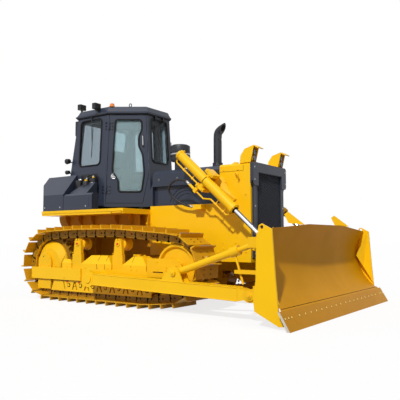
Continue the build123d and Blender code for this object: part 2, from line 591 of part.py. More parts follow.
def lamp_brackets():
    """The right pair of headlamps on the guard's top, between two cheeks under a visor."""
    front, base, out, inside = GUARD_FRONT_X - 2, HOOD_TOP, -LAMP_Y - LAMP_HALF, -LAMP_Y + LAMP_HALF
    back = [(front - 170, base), (front - 155, base + 105), (front - 88, base + 192)]
    cheek = side_plate([*back, (front + 56, base + 232), (front, base)], out, out + SHEET)
    visor = side_plate([(front - 88, base + 180), back[-1], (front + 56, base + 232), (front + 123, base + 190),
                        (front + 113, base + 182), (front + 54, base + 218)], out, inside)
    shapes = cheek + Pos(0, inside - out - SHEET, 0) * cheek + visor
    shapes += block((front - 170, front), (out, inside), (base, base + SHEET))
    for z in (base + 62, base + 148):
        shapes += bar((front - 57, -LAMP_Y, z), (front + 23, -LAMP_Y, z), LAMP_R)
        shapes += block((front - 87, front - 56), (out + 1, inside - 1), (z - 20, z + 20))
    return shapes


def exhaust():
    """The exhaust stack with its outlet bent forwards."""
    x, r = EXHAUST_X, EXHAUST_R
    start, bend, end = (x, 0, HOOD_TOP), (x, 0, EXHAUST_TOP), (x + 125, 0, EXHAUST_TOP + 110)
    path = FilletPolyline(start, bend, end, radius=120)
    stack = sweep(Plane(origin=start, z_dir=(0, 0, 1)) * Circle(r), path=path)
    stack += bar(start, (x, 0, HOOD_TOP + 102), r + 25)
    run = (Vector(*end) - Vector(*bend)).normalized()
    return stack - bar(tuple(Vector(*end) - run * 70), tuple(Vector(*end) + run * 5), r - 6)


def precleaner():
    """The air pre-cleaner on its stem beside the hood's middle."""
    r = PRECLEANER_R
    stem_r, cap_r, rim = 0.42 * r, 0.67 * r, 15
    stem, bowl, top = [HOOD_TOP + height for height in (PRECLEANER_STEM, PRECLEANER_BOWL, PRECLEANER_HIGH)]
    profile = [(0, HOOD_TOP), (stem_r, HOOD_TOP), (stem_r, stem), (r - rim, stem + 1.6 * rim), (r, stem + 3 * rim),
               (r, bowl), (r - rim, bowl + 2 * rim), (cap_r, top - rim), (0.36 * r, top), (0, top)]
    face = Plane.XZ * make_face(Polyline(*profile, close=True))
    return Pos(PRECLEANER_X, PRECLEANER_Y, 0) * revolve(face, Axis.Z)


# ---------------------------------------------------------------- cab
DOOR_COS, DOOR_SIN = math.cos(math.radians(DOOR_ANGLE)), math.sin(math.radians(DOOR_ANGLE))
DOOR_REACH = DOOR_SIN * CAB_FRONT_X + DOOR_COS * CAB_FRONT_HALF


def leaned(angle, height):
    return height * math.tan(math.radians(angle))


def cab_plan(z, inset=0):
    """The cab's outline at a height, from its right front corner round to the left one.

    The walls are leaning planes; each is moved inwards by the inset.
    """
    rise = z - CAB_BASE_Z
    front_x = CAB_FRONT_X - leaned(FRONT_LEAN, rise) - inset
    rear_x = CAB_REAR_X + leaned(REAR_LEAN, rise) + inset
    side = CAB_HALF - leaned(SIDE_LEAN, rise) - inset
    door = DOOR_REACH - leaned(DOOR_LEAN, rise) - inset
    front_half = (door - DOOR_SIN * front_x) / DOOR_COS
    wide_x = (door - DOOR_COS * side) / DOOR_SIN
    right = [(front_x, -front_half), (wide_x, -side), (rear_x, -side)]
    return right + [(x, -y) for x, y in reversed(right)]


def cab_hull(inset, z_low=CAB_BASE_Z - 1, z_high=CAB_WALL_TOP + 1):
    """The space inside the cab's outer faces, moved inwards by the inset."""
    ends = [Pos(0, 0, z) * make_face(Polyline(*cab_plan(z, inset), close=True)) for z in (z_low, z_high)]
    return loft(ends, ruled=True)


def cab_end_slab(corner, inwards):
    """Everything outside the inner face of the front wall (corner 0) or the rear one (corner 2)."""
    spans = [(z, cab_plan(z)[corner][0]) for z in (CAB_BASE_Z - 2, CAB_WALL_TOP + 2)]
    (z_low, x_low), (z_high, x_high) = spans
    step = inwards * CAB_WALL
    return side_plate([(x_low + step, z_low), (x_low - 4 * step, z_low), (x_high - 4 * step, z_high),
                       (x_high + step, z_high)], -2 * CAB_HALF, 2 * CAB_HALF)


def door_plane():
    """The foot of the door's wall: origin at the front corner, X along the wall to the rear, Y up."""
    x, y = cab_plan(CAB_BASE_Z)[0]
    return Plane(origin=(x, y, CAB_BASE_Z), x_dir=(-DOOR_COS, -DOOR_SIN, 0), z_dir=(-DOOR_SIN, DOOR_COS, 0))


def door_corners(height):
    """Where the front and the wide corner lie along the door's wall, at a height above its foot."""
    x0, y0 = cab_plan(CAB_BASE_Z)[0]
    corners = cab_plan(CAB_BASE_Z + height)[:2]
    return [(x0 - x) * DOOR_COS + (y0 - y) * DOOR_SIN for x, y in corners]


def door_outline():
    """The leaf's outline on the door's wall, its front edge slanting to the rear below the knee."""
    low, high = DOOR_FOOT, CAB_WALL_TOP - CAB_BASE_Z - DOOR_HEAD
    top, knee, foot = door_corners(high), door_corners(DOOR_KNEE), door_corners(low)
    return make_face(Polyline(
        (top[0] + DOOR_EDGE, high), (top[1] - DOOR_POST, high), (foot[1] - DOOR_POST, low),
        (foot[0] + DOOR_TOE, low), (knee[0] + DOOR_EDGE, DOOR_KNEE), close=True))


# The window's outline as shares of the leaf's width, from its front edge, and of its height.
WINDOW_SHARES = [
    (0.12, 0.945), (0.84, 0.945), (0.875, 0.45), (0.885, 0.36), (0.735, 0.265), (0.72, 0.125),
    (0.185, 0.125), (0.105, 0.33), (0.125, 0.545), (0.215, 0.64), (0.215, 0.75), (0.12, 0.83),
]


def window_outline():
    """The door's window, waisted at the front for the grab rail and stepped in above the catch."""
    low, high = DOOR_FOOT, CAB_WALL_TOP - CAB_BASE_Z - DOOR_HEAD
    points = []
    for across, up in WINDOW_SHARES:
        height = low + up * (high - low)
        front, rear = door_corners(height)
        front, rear = front + DOOR_EDGE, rear - DOOR_POST
        points.append((front + across * (rear - front), height))
    face = make_face(Polyline(*points, close=True))
    return fillet(face.vertices(), WINDOW_R)


def door_prism(outline):
    return extrude(door_plane() * outline, amount=4 * CAB_WALL, both=True)


def rounded_window(plane, middle, width, height, reach):
    """A cutter through a wall: a rounded rectangle on a plane, as deep as its reach."""
    return extrude(plane * (Pos(*middle) * RectangleRounded(width, height, WINDOW_CORNER_R)), amount=reach)


def cab_windows():
    """Cutters for the windscreen, the rear window and the right rear side window."""
    head = CAB_WALL_TOP - 62
    front_low, side_low = CAB_BASE_Z + FRONT_SILL, CAB_BASE_Z + SIDE_SILL
    front = rounded_window(Plane.YZ, (0, (front_low + head) / 2), 2 * CAB_FRONT_HALF - 150, head - front_low,
                           CAB_HALF)
    rear = rounded_window(Plane.YZ, (0, (side_low + head) / 2), 2 * CAB_HALF - 380, head - side_low, -CAB_HALF)
    x_high, x_low = cab_plan(head)[1][0] - 130, cab_plan(head)[2][0] + CAB_WALL + 35
    side = rounded_window(Plane.XZ, ((x_low + x_high) / 2, (side_low + head) / 2), x_high - x_low,
                          head - side_low, 2 * CAB_HALF)
    return Pos(CAB_FRONT_X - 360, 0, 0) * front, Pos(CAB_REAR_X + 400, 0, 0) * rear, side


def cab_walls():
    """The cab's front, right and rear walls; the left one is the right one's mirror image."""
    shell = cab_hull(0, CAB_BASE_Z, CAB_WALL_TOP) - cab_hull(CAB_WALL)
    gap = door_prism(offset(door_outline(), amount=DOOR_GAP, kind=Kind.INTERSECTION))
    shell = shell - gap - left_of(gap)
    front_slab, rear_slab = cab_end_slab(0, -1), cab_end_slab(2, 1)
    front_window, rear_window, side_window = cab_windows()
    right_half = block((CAB_REAR_X - 1, CAB_FRONT_X + 1), (-2 * CAB_HALF, 0), (0, 2 * CAB_TOP))
    right = (shell & right_half) - front_slab - rear_slab - side_window
    return (shell & front_slab) - front_window, right + hinge_post(), (shell & rear_slab) - rear_window


def pane_sheet():
    middle = CAB_WALL / 2
    return cab_hull(middle - PANE / 2, CAB_BASE_Z, CAB_WALL_TOP) - cab_hull(middle + PANE / 2)


def cab_glass():
    """The panes of the front, rear and both rear side windows."""
    sheet = pane_sheet()
    front, rear, side = cab_windows()
    return [sheet & front, sheet & rear, *both_sides(sheet & side)]


def hinge_line():
    """The right door's hinge axis: beside the seam at the wide corner, parallel to that corner."""
    ends = []
    for height in (0, CAB_WALL_TOP - CAB_BASE_Z):
        x, y = cab_plan(CAB_BASE_Z + height)[1]
        back = DOOR_POST - DOOR_GAP / 2
        ends.append(Vector(x + back * DOOR_COS + HINGE_OUT * DOOR_SIN,
                           y + back * DOOR_SIN - HINGE_OUT * DOOR_COS, CAB_BASE_Z + height))
    return ends[0], (ends[1] - ends[0]).normalized()


def hinge_knuckle(height, low, high, radius):
    """A piece of a hinge's barrel, between two distances from its middle."""
    foot, up = hinge_line()
    middle = height / up.Z
    start, end = foot + up * (middle + low), foot + up * (middle + high)
    return bar(tuple(start), tuple(end), radius)


def hinge_strap(height, low, high, across):
    """The flat strap of a hinge, from its barrel across the wall's outer face."""
    near, far = sorted((0, across))
    strap = Pos((near + far) / 2, height + (low + high) / 2, 0) * Rectangle(far - near, high - low)
    seam = door_corners(height)[1] - DOOR_POST + DOOR_GAP / 2
    solid = extrude(door_plane() * (Pos(seam, 0, 0) * strap), amount=4 * CAB_WALL, both=True)
    return solid & (cab_hull(-HINGE_OUT / 2) - cab_hull(0))


def hinge_post():
    """The pieces of both right hinges that the post carries, each with its pin."""
    third = HINGE_HALF / 3
    shapes = []
    for height in HINGE_HEIGHTS:
        shapes.append(hinge_knuckle(height, -HINGE_HALF, HINGE_HALF, HINGE_PIN_R))
        for low, high in ((-HINGE_HALF, -third - 1), (third + 1, HINGE_HALF)):
            shapes += [hinge_knuckle(height, low, high, HINGE_R),
                       hinge_strap(height, low, high, DOOR_POST - DOOR_GAP)]
    return Compound(children=shapes)


def hinge_leaf():
    """The pieces of both right hinges that the door carries."""
    third = HINGE_HALF / 3
    shapes = []
    for height in HINGE_HEIGHTS:
        span = (height, -third + 1, third - 1)
        bore = hinge_knuckle(*span, HINGE_PIN_R + 0.5)
        shapes.append(hinge_knuckle(*span, HINGE_R) + hinge_strap(*span, -3 * HINGE_HALF / 2) - bore)
    return shapes


def door_parts():
    """The right door's leaf with its hinges, and its pane."""
    leaf = cab_hull(0, CAB_BASE_Z, CAB_WALL_TOP) - cab_hull(CAB_WALL)
    leaf &= door_prism(door_outline())
    window = door_prism(window_outline())
    leaf -= window
    for hinge in hinge_leaf():
        leaf += hinge
    return leaf, pane_sheet() & window


def cab_roof():
    """The roof: a black gutter rim below a crown with sloped sides."""
    def plan(z, eave):
        return Pos(0, 0, z) * make_face(Polyline(*cab_plan(z, -eave), close=True))

    eaves = CAB_WALL_TOP + GUTTER
    rim = extrude(plan(CAB_WALL_TOP, ROOF_EAVE), amount=GUTTER, dir=(0, 0, 1))
    crown = loft([plan(eaves, ROOF_EAVE - 10), plan(CAB_TOP, -ROOF_EAVE / 2)], ruled=True)
    return rim + crown + lifting_eye() + left_of(lifting_eye())


def lifting_eye():
    """The right ring on the roof by which the cab is lifted, on its round foot."""
    x, y = ROOF_EYE
    ring_z = CAB_TOP + ROOF_EYE_R + 4
    ring = Pos(x, y, ring_z) * (Rot(90, 0, DOOR_ANGLE) * Torus(ROOF_EYE_R, ROOF_EYE_WIRE))
    return ring + bar((x, y, CAB_TOP - 1), (x, y, CAB_TOP + 8), 2.4 * ROOF_EYE_WIRE)


def work_lamps():
    """The two work lamps at the roof's right rear, each a ribbed housing on a bent bracket."""
    lamps = []
    for x, y, z, foot, reach in WORK_LAMPS:
        depth, half, tall = WORK_LAMP
        housing = block((x - depth, x + depth), (y - half, y + half), (z - tall, z + tall))
        for k in range(WORK_LAMP_RIBS):
            rib_z = z - tall + (k + 1) * 2 * tall / (WORK_LAMP_RIBS + 1)
            housing += block((x + depth - 1, x + depth + 12), (y - half + 8, y + half - 8), (rib_z - 3, rib_z + 3))
        lens = bar((x - depth - 10, y, z), (x - depth + 1, y, z), tall - 6)
        bracket = block((x - 20, x + 20), (y - 4, y + 4), (foot + 5, z))
        bracket += block((x - 20, x + 20), (y - 4, y + reach), (foot, foot + 6))
        lamps.append(housing + lens + bracket)
    return lamps


def beacon():
    """The amber beacon on the roof's right side."""
    x, y = BEACON
    profile = [(0, CAB_TOP), (BEACON_R + 8, CAB_TOP), (BEACON_R + 8, CAB_TOP + 12), (BEACON_R, CAB_TOP + 12),
               (BEACON_R - 5, CAB_TOP + BEACON_HIGH - 10), (BEACON_R - 15, CAB_TOP + BEACON_HIGH), (0, CAB_TOP + BEACON_HIGH)]
    return Pos(x, y, 0) * revolve(Plane.XZ * make_face(Polyline(*profile, close=True)), Axis.Z)


def cab_floor():
    """The floor pan under the cab's walls, on its rubber mounts."""
    low = CAB_BASE_Z - CAB_FLOOR_THICK
    slab = Pos(0, 0, low) * extrude(
        make_face(Polyline(*cab_plan(CAB_BASE_Z), close=True)), amount=CAB_FLOOR_THICK, dir=(0, 0, 1))
    mounts = ((CAB_FRONT_X - 200, CAB_FRONT_HALF), (CAB_REAR_X + 160, CAB_HALF - 200))
    for x, half in mounts:
        for y in (-half, half):
            slab += bar((x, y, DECK_TOP), (x, y, low + 1), 60)
    return slab


SEAT_X = -1330


def seat():
    """The operator's seat on its suspension box, with its arm rests."""
    low = CAB_BASE_Z
    stand = block((SEAT_X - 200, SEAT_X + 160), (-170, 170), (low, low + 290))
    cushion = side_plate([(SEAT_X - 240, low + 280), (SEAT_X + 230, low + 280), (SEAT_X + 270, low + 340),
                          (SEAT_X + 240, low + 420), (SEAT_X - 240, low + 400)], -260, 260)
    back = side_plate([(SEAT_X - 250, low + 390), (SEAT_X - 120, low + 390), (SEAT_X - 230, low + 1030),
                       (SEAT_X - 290, low + 1050), (SEAT_X - 340, low + 1020)], -240, 240)
    return stand + cushion + back


def console():
    """The dash in front of the operator."""
    low, x = CAB_BASE_Z, CAB_FRONT_X - CAB_WALL - 45
    return side_plate([(x, low), (x, low + 440), (x - 90, low + 470), (x - 230, low + 380), (x - 180, low)],
                      -CAB_FRONT_HALF + 70, CAB_FRONT_HALF - 70)


# ---------------------------------------------------------------- fenders, tank and boxes
DECK_TOP = FENDER_Z + FENDER_THICK


def deck():
    """The platform over the tracks, its edge in two layers."""
    middle = FENDER_Z + 0.45 * FENDER_THICK
    layers = []
    for half, z_low, z_high in ((FENDER_HALF - FENDER_LIP, FENDER_Z, middle), (FENDER_HALF, middle, DECK_TOP)):
        plan = [(FENDER_FRONT_X, -half), (FENDER_FRONT_X, half), (FENDER_REAR_X, half), (FENDER_REAR_X, -half)]
        layers.append(level_plate(plan, z_low, z_high))
    return layers[0] + layers[1]


def supports():
    """The right apron under the deck with its ribs, its front leg and the posts on the hull."""
    rear = FENDER_REAR_X - 60
    turn = FENDER_Z - APRON_LOW
    edge = Polyline((FENDER_FRONT_X - 60, FENDER_Z), (FENDER_FRONT_X - 60, APRON_LOW), (rear + turn, APRON_LOW))
    curve = RadiusArc((rear + turn, APRON_LOW), (rear, FENDER_Z), turn)
    top = Line((rear, FENDER_Z), (FENDER_FRONT_X - 60, FENDER_Z))
    face = Plane.XZ * make_face([edge, curve, top])
    apron = Pos(0, -APRON_Y, 0) * extrude(face, amount=SHEET, dir=(0, -1, 0))
    rib_low = FENDER_Z - 150
    for x in (FENDER_FRONT_X - 200, FENDER_FRONT_X - 503, BOX_FRONT_X - 355, TANK_FRONT_X + 11, FENDER_REAR_X + 195):
        apron += side_rib(x, rib_low)
    leg = block((FENDER_FRONT_X - 58, FENDER_FRONT_X), (-HOOD_HALF - 52, -HOOD_HALF - 2), (APRON_LOW - 90, FENDER_Z))
    shapes = [apron, leg]
    for x_low, x_high, z_low in ((-900, -700, RAIL_HIGH), (-2100, -1800, CASE_TOP)):
        shapes.append(block((x_low, x_high), (-RAIL_OUT, -RAIL_IN), (z_low, FENDER_Z)))
    return shapes


def side_rib(x, z_low):
    """A rib on the apron's outer face, its lower outer corner cut off."""
    y = -APRON_Y - SHEET
    return cross_plate([(y + 1, FENDER_Z), (y + 1, z_low), (y - 20, z_low), (y - 90, FENDER_Z - 60),
                        (y - 90, FENDER_Z)], x, x + SHEET)


def fuel_tank():
    """The rear tank: its back follows the width, its wings reach forward beside the cab."""
    low = DECK_TOP
    section = [(-TANK_HALF, low), (-TANK_HALF, TANK_SHOULDER_Z), (-TANK_TOP_HALF, TANK_TOP),
               (TANK_TOP_HALF, TANK_TOP), (TANK_HALF, TANK_SHOULDER_Z), (TANK_HALF, low)]
    tank = cross_plate(section, TANK_REAR_X, TANK_FRONT_X)
    clear = 35
    tank -= block((CAB_REAR_X - clear, TANK_FRONT_X + 1), (-CAB_HALF - clear, CAB_HALF + clear),
                  (low - 1, TANK_TOP + 1))
    chamfer_x, chamfer_y = 204, 160
    corner = [(TANK_REAR_X - 1, -TANK_HALF - 1), (TANK_REAR_X - 1, -TANK_HALF + chamfer_y),
              (TANK_REAR_X + chamfer_x, -TANK_HALF - 1)]
    cut = level_plate(corner, low - 1, TANK_TOP + 1)
    return tank - cut - left_of(cut)


def side_box():
    """The right box on the deck, ahead of the tank, with its raised lid beside the cab."""
    low, inner = DECK_TOP, -TANK_HALF + BOX_WIDTH
    section = [(-TANK_HALF, low), (-TANK_HALF, TANK_SHOULDER_Z - 30), (-TANK_HALF + 30, TANK_SHOULDER_Z),
               (inner, TANK_SHOULDER_Z), (inner, low)]
    box = cross_plate(section, TANK_FRONT_X + 6, BOX_FRONT_X)
    lid_y = -CAB_HALF - 30
    lid = cross_plate([(inner - 90, TANK_SHOULDER_Z - 20), (lid_y - 40, BOX_LID_Z), (lid_y, BOX_LID_Z), (lid_y, low),
                       (inner + 1, low), (inner + 1, TANK_SHOULDER_Z - 20)], TANK_FRONT_X + 60, BOX_FRONT_X - 200)
    ramp = side_plate([(TANK_FRONT_X + 59, BOX_LID_Z + 1), (TANK_FRONT_X + 59, TANK_SHOULDER_Z + 40),
                       (TANK_FRONT_X + 220, BOX_LID_Z + 1)], -TANK_HALF, 0)
    return box + (lid - ramp)


# ---------------------------------------------------------------- lift linkage
LIFT_TRUNNION, LIFT_EYE = (LIFT_TRUNNION_X, LIFT_TRUNNION_Z), (LIFT_EYE_X, LIFT_EYE_Z)
YOKE_DEEP = LIFT_TUBE_R + 62     # the yoke's back stands this far inboard of the tube's middle
BOSS_FACE_Y = LIFT_Y - YOKE_DEEP - 4

# The right hose's route, from the port on the cylinder to the manifold on the hull's side.
HOSE_ROUTE = [
    (578, -727, 1718), (520, -727, 1770), (425, -722, 1800), (315, -712, 1797), (215, -695, 1757), (150, -672, 1685),
    (160, -645, 1605), (230, -620, 1535), (330, -590, 1468), (440, -560, 1418), (540, -560, 1418),
]


def on_cylinder(reach, lift, side=0):
    """A point by the right lift cylinder: along it from the trunnion, above its line, and inboard."""
    size = math.dist(LIFT_TRUNNION, LIFT_EYE)
    ux, uz = [(e - t) / size for t, e in zip(LIFT_TRUNNION, LIFT_EYE)]
    return (LIFT_TRUNNION_X + reach * ux - lift * uz, -LIFT_Y + side, LIFT_TRUNNION_Z + reach * uz + lift * ux)


def cylinder_bar(start, end, radius):
    """A round bar in line with the right lift cylinder."""
    return bar(on_cylinder(start, 0), on_cylinder(end, 0), radius)


def cylinder_block(reach_span, lift_span, side_span):
    """A box in the right lift cylinder's own directions."""
    size = math.dist(LIFT_TRUNNION, LIFT_EYE)
    ux, uz = [(e - t) / size for t, e in zip(LIFT_TRUNNION, LIFT_EYE)]
    plane = Plane(origin=on_cylinder(0, 0), x_dir=(ux, 0, uz), z_dir=(0, -1, 0))
    spans = (reach_span, lift_span, [-side for side in reversed(side_span)])
    middle = [(low + high) / 2 for low, high in spans]
    return plane * (Pos(*middle) * Box(*[high - low for low, high in spans]))


def lift_pipe(*points):
    """A pipe beside the right lift cylinder, through points given along it and above it."""
    path = FilletPolyline(*[on_cylinder(*point) for point in points], radius=35)
    start, ahead = [Vector(*on_cylinder(*point)) for point in points[:2]]
    return sweep(Plane(origin=start, z_dir=ahead - start) * Circle(LIFT_PIPE_R), path=path)


def lift_yoke():
    """The cone on the guard's right side whose boss carries the lift cylinder's yoke."""
    x, z = LIFT_TRUNNION
    foot_x = GUARD_REAR_X + 10
    foot = [(foot_x, z + 95), (foot_x + 90, z + 40), (foot_x + 150, z - 110), (foot_x + 270, z - 255),
            (foot_x + 200, z - 300), (foot_x, z - 150)]
    turns = (100, 40, 0, -40, -90, 180)
    boss = [(x + LIFT_BOSS_R * math.cos(math.radians(a)), z + LIFT_BOSS_R * math.sin(math.radians(a))) for a in turns]
    rim_y, face_y = HOOD_HALF + 22, BOSS_FACE_Y - 20
    ends = [Pos(0, -y, 0) * (Plane.XZ * make_face(Polyline(*points, close=True)))
            for y, points in ((rim_y, foot), (face_y, boss))]
    casting = side_plate(foot, -rim_y, -HOOD_HALF) + loft(ends, ruled=True)
    casting += disc(x, z, -BOSS_FACE_Y, -BOSS_FACE_Y + LIFT_BOSS_LONG, LIFT_BOSS_R)
    return casting - disc(x, z, -BOSS_FACE_Y - 1, -BOSS_FACE_Y + LIFT_BOSS_LONG + 8, LIFT_SHAFT_R + 0.5)


def lift_barrel():
    """The right lift cylinder's tube in its yoke, with its pipes and hose port."""
    tube = cylinder_bar(-LIFT_TUBE_REAR, LIFT_TUBE_FRONT, LIFT_TUBE_R)
    rings = ((-12, 12, -3), (LIFT_TUBE_FRONT - 62, LIFT_TUBE_FRONT - 8, 10), (-LIFT_TUBE_REAR + 8, -LIFT_TUBE_REAR + 40, 6))
    for start, end, extra in rings[1:]:
        tube += cylinder_bar(start, end, LIFT_TUBE_R + extra)
    start, end, extra = rings[0]
    tube -= cylinder_bar(start / 2, end / 2, 2 * LIFT_TUBE_R) - cylinder_bar(start, end, LIFT_TUBE_R + extra)
    near, far = LIFT_TUBE_R + YOKE_REACH, LIFT_TUBE_R + YOKE_REACH + YOKE_ARM
    for lift_span in ((near, far), (-far, -near)):
        tube += cylinder_block((-YOKE_HALF, YOKE_HALF), lift_span, (-40, YOKE_DEEP))
    tube += bar(on_cylinder(0, -near - 1), on_cylinder(0, near + 1), 34)
    tube += cylinder_block((-YOKE_HALF, YOKE_HALF), (-far, far), (YOKE_DEEP - 34, YOKE_DEEP))
    tube += bar(on_cylinder(0, 0, YOKE_DEEP - 1), on_cylinder(0, 0, YOKE_DEEP + 4 + LIFT_BOSS_LONG), LIFT_SHAFT_R)
    drop, port = -LIFT_PIPE_DROP, -LIFT_PORT_DROP
    rear, front = -LIFT_TUBE_REAR + 24, LIFT_TUBE_FRONT - 35
    tube += lift_pipe((rear, -LIFT_TUBE_R + 5), (rear, drop), (-YOKE_HALF + 5, drop))
    tube += lift_pipe((-40, port), (135, port), (235, drop - 20), (front, drop - 20), (front, -LIFT_TUBE_R + 5))
    tube += cylinder_block((-70, -20), (port - 26, port + 26), (-26, 26))
    tube += cylinder_block((-70, -20), (port, -far + 10), (-14, 14))
    tube += bar(on_cylinder(-180, port), on_cylinder(-60, port), HOSE_R + 5)
    return tube - cylinder_bar(-LIFT_TUBE_REAR + 60, LIFT_TUBE_FRONT + 1, LIFT_ROD_R + 2)


def lift_rod():
    """The right lift cylinder's rod with its eye and the middle of its pin."""
    rod = bar(on_cylinder(LIFT_ROD_TAIL, 0), (LIFT_EYE_X, -LIFT_Y, LIFT_EYE_Z), LIFT_ROD_R)
    return rod + disc(*LIFT_EYE, -LIFT_Y - LIFT_EYE_HALF, -LIFT_Y + LIFT_EYE_HALF, LIFT_EYE_R)


def corner_radii(route):
    """Each corner's radius: as large as its two runs allow."""
    radii = []
    for before, corner, after in zip(route, route[1:], route[2:]):
        back, ahead = Vector(*corner) - Vector(*before), Vector(*after) - Vector(*corner)
        half_turn = math.radians(back.get_angle(ahead)) / 2
        radii.append(0.45 * min(back.length, ahead.length) / math.tan(half_turn))
    return radii


def hose():
    """The right hydraulic hose, from the cylinder's port to the manifold on the hull."""
    path = FilletPolyline(*HOSE_ROUTE, radius=corner_radii(HOSE_ROUTE))
    start, ahead = [Vector(*point) for point in HOSE_ROUTE[:2]]
    return sweep(Plane(origin=start, z_dir=ahead - start) * Circle(HOSE_R), path=path)


# ---------------------------------------------------------------- push arms and braces
def push_arm():
    """The right push arm: a box beam with its rear ball socket, front eye and the brace's ears."""
    rear, front = (TRUNNION_X, TRUNNION_Z), (ARM_PIN_X, ARM_PIN_Z)
    slope = math.atan2(front[1] - rear[1], front[0] - rear[0])
    reach = math.dist(rear, front)
    y_out, y_in = -ARM_Y - ARM_WIDTH / 2, -ARM_Y + ARM_WIDTH / 2
    h = ARM_HEIGHT / 2

    def place(points):
        c, s = math.cos(slope), math.sin(slope)
        return [(rear[0] + u * c - v * s, rear[1] + u * s + v * c) for u, v in points]

    beam = side_plate(place([(60, -h), (60, h), (reach - 200, h), (reach - 90, 55), (reach - 90, -55),
                             (reach - 200, -h)]), y_out, y_in)
    socket = disc(*rear, y_out, y_in, TRUNNION_R + 53)
    eye = disc(*front, -ARM_Y - 50, -ARM_Y + 50, ARM_PIN_R + 40)
    neck = side_plate(place([(reach - 120, -55), (reach - 120, 55), (reach, 60), (reach, -60)]),
                      -ARM_Y - 50, -ARM_Y + 50)
    arm = beam + socket + eye + neck
    foot = BRACE_REAR_X
    ears = [(foot - 206, 430), (foot - 70, 585), (foot + 20, 612), (foot + 70, 585), (foot + 150, 410),
            (foot + 150, 360), (foot - 206, 380)]
    for y in (y_out, y_in - EAR):
        arm += side_plate(ears, y, y + EAR)
    arm += disc(BRACE_REAR_X, BRACE_REAR_Z, y_out - 12, y_in, BRACE_PIN_R)
    arm -= disc(*rear, y_out - 1, y_in + 1, TRUNNION_R + 0.5)
    return arm - disc(*front, y_out - 1, y_in + 1, ARM_PIN_R + 0.5)


BRACE_REAR = (BRACE_REAR_X, BRACE_REAR_Z)
BRACE_FRONT = (BRACE_FRONT_X, BRACE_FRONT_Z)
BRACE_LENGTH = math.dist(BRACE_REAR, BRACE_FRONT)
HANDLE_REACH, HANDLE_DROP, HANDLE_R = 120, 380, 14
SCREW_OUT = 215              # the screw's length that shows, from its eye to the collar


def brace_bar(y, start, end, radius):
    """A round bar along the brace's line, between two distances from its rear pin."""
    a, b = along(BRACE_REAR, BRACE_FRONT, start), along(BRACE_REAR, BRACE_FRONT, end)
    return bar((a[0], y, a[1]), (b[0], y, b[1]), radius)


def brace_tube():
    """The right brace's tube with its rear eye, turning collar and handle bar."""
    y = -ARM_Y
    tube_end = BRACE_LENGTH - SCREW_OUT
    tube = brace_bar(y, 0, tube_end, 45) + brace_bar(y, tube_end - 110, tube_end, 60)
    tube += disc(*BRACE_REAR, y - 26, y + 26, BRACE_PIN_R + 28)
    top = along(BRACE_REAR, BRACE_FRONT, tube_end - 70)
    tube += bar((top[0], y, top[1]), (top[0] + HANDLE_REACH, y, top[1] - HANDLE_DROP), HANDLE_R)
    tube -= disc(*BRACE_REAR, y - 60, y + 60, BRACE_PIN_R + 0.5)
    return tube - brace_bar(y, 300, tube_end + 1, 32.5)


def brace_screw():
    """The right brace's screw with its front eye."""
    y = -ARM_Y
    screw = brace_bar(y, 420, BRACE_LENGTH, 32)
    screw += disc(*BRACE_FRONT, y - 26, y + 26, BRACE_PIN_R + 28)
    return screw - disc(*BRACE_FRONT, y - 60, y + 60, BRACE_PIN_R + 6)


def tilt_barrel():
    """The left tilt cylinder's tube with its rear eye."""
    y = ARM_Y
    tube = brace_bar(y, 165, 760, 62) + brace_bar(y, 0, 170, 40)
    tube += disc(*BRACE_REAR, y - 26, y + 26, BRACE_PIN_R + 28)
    tube -= disc(*BRACE_REAR, y - 60, y + 60, BRACE_PIN_R + 0.5)
    return tube - brace_bar(y, 200, 761, 34)


def tilt_rod():
    """The left tilt cylinder's rod with its front eye."""
    y = ARM_Y
    rod = brace_bar(y, 330, BRACE_LENGTH, 32)
    rod += disc(*BRACE_FRONT, y - 26, y + 26, BRACE_PIN_R + 28)
    return rod - disc(*BRACE_FRONT, y - 60, y + 60, BRACE_PIN_R + 6)


# ---------------------------------------------------------------- blade
def mold_space():
    """Everything in front of the moldboard's back, as a cutter for what is behind it."""
    foot, middle, top = [(x - MOLDBOARD, z) for x, z in mold_profile()]
    back = ThreePointArc(foot, middle, top)
    ahead = Polyline(top, (top[0], top[1] + 300), (2900, top[1] + 300), (2900, foot[1] - 300),
                     (foot[0], foot[1] - 300), foot)
    face = Plane.XZ * make_face([back, ahead])
    return Pos(0, 2000, 0) * extrude(face, amount=4000, dir=(0, -1, 0))


def mold_profile():
    """The moldboard's front face: an arc through its foot, its deepest point and its top."""
    foot = (EDGE_TOP_X - 26, EDGE_TOP_Z + 16)
    return foot, (MOLD_MID_X, MOLD_MID_Z), (MOLD_TOP_X, MOLD_TOP_Z)


def moldboard():
    """The curved moldboard between the end plates, its top edge dropping to the corners."""
    foot, middle, top = mold_profile()
    front = ThreePointArc(foot, middle, top)
    back = ThreePointArc(*[(x - MOLDBOARD, z) for x, z in (top, middle, foot)])
    face = Plane.XZ * make_face([front, Line(front @ 1, back @ 0), back, Line(back @ 1, front @ 0)])
    half = END_PLATE_Y - END_PLATE
    sheet = Pos(0, half, 0) * extrude(face, amount=2 * half, dir=(0, -1, 0))
    slope = cross_plate([(MOLD_FLAT_HALF, MOLD_TOP_Z), (half + 40, MOLD_CORNER_Z), (half + 40, MOLD_TOP_Z + 20),
                         (MOLD_FLAT_HALF, MOLD_TOP_Z + 20)], 1900, 2600)
    return sheet - slope - left_of(slope)


END_EYE_X, END_EYE_Z, END_EYE_R = 2203, 1086, 22
# The end plate's outline as distances behind the cutting edge's tip, and heights.
END_OUTLINE = [(364, 1125), (243, MOLD_CORNER_Z), (208, 538), (178, 198), (118, 36), (170, 30),
               (465, 171), (480, 300), (449, 495), (432, 993), (398, 1110)]


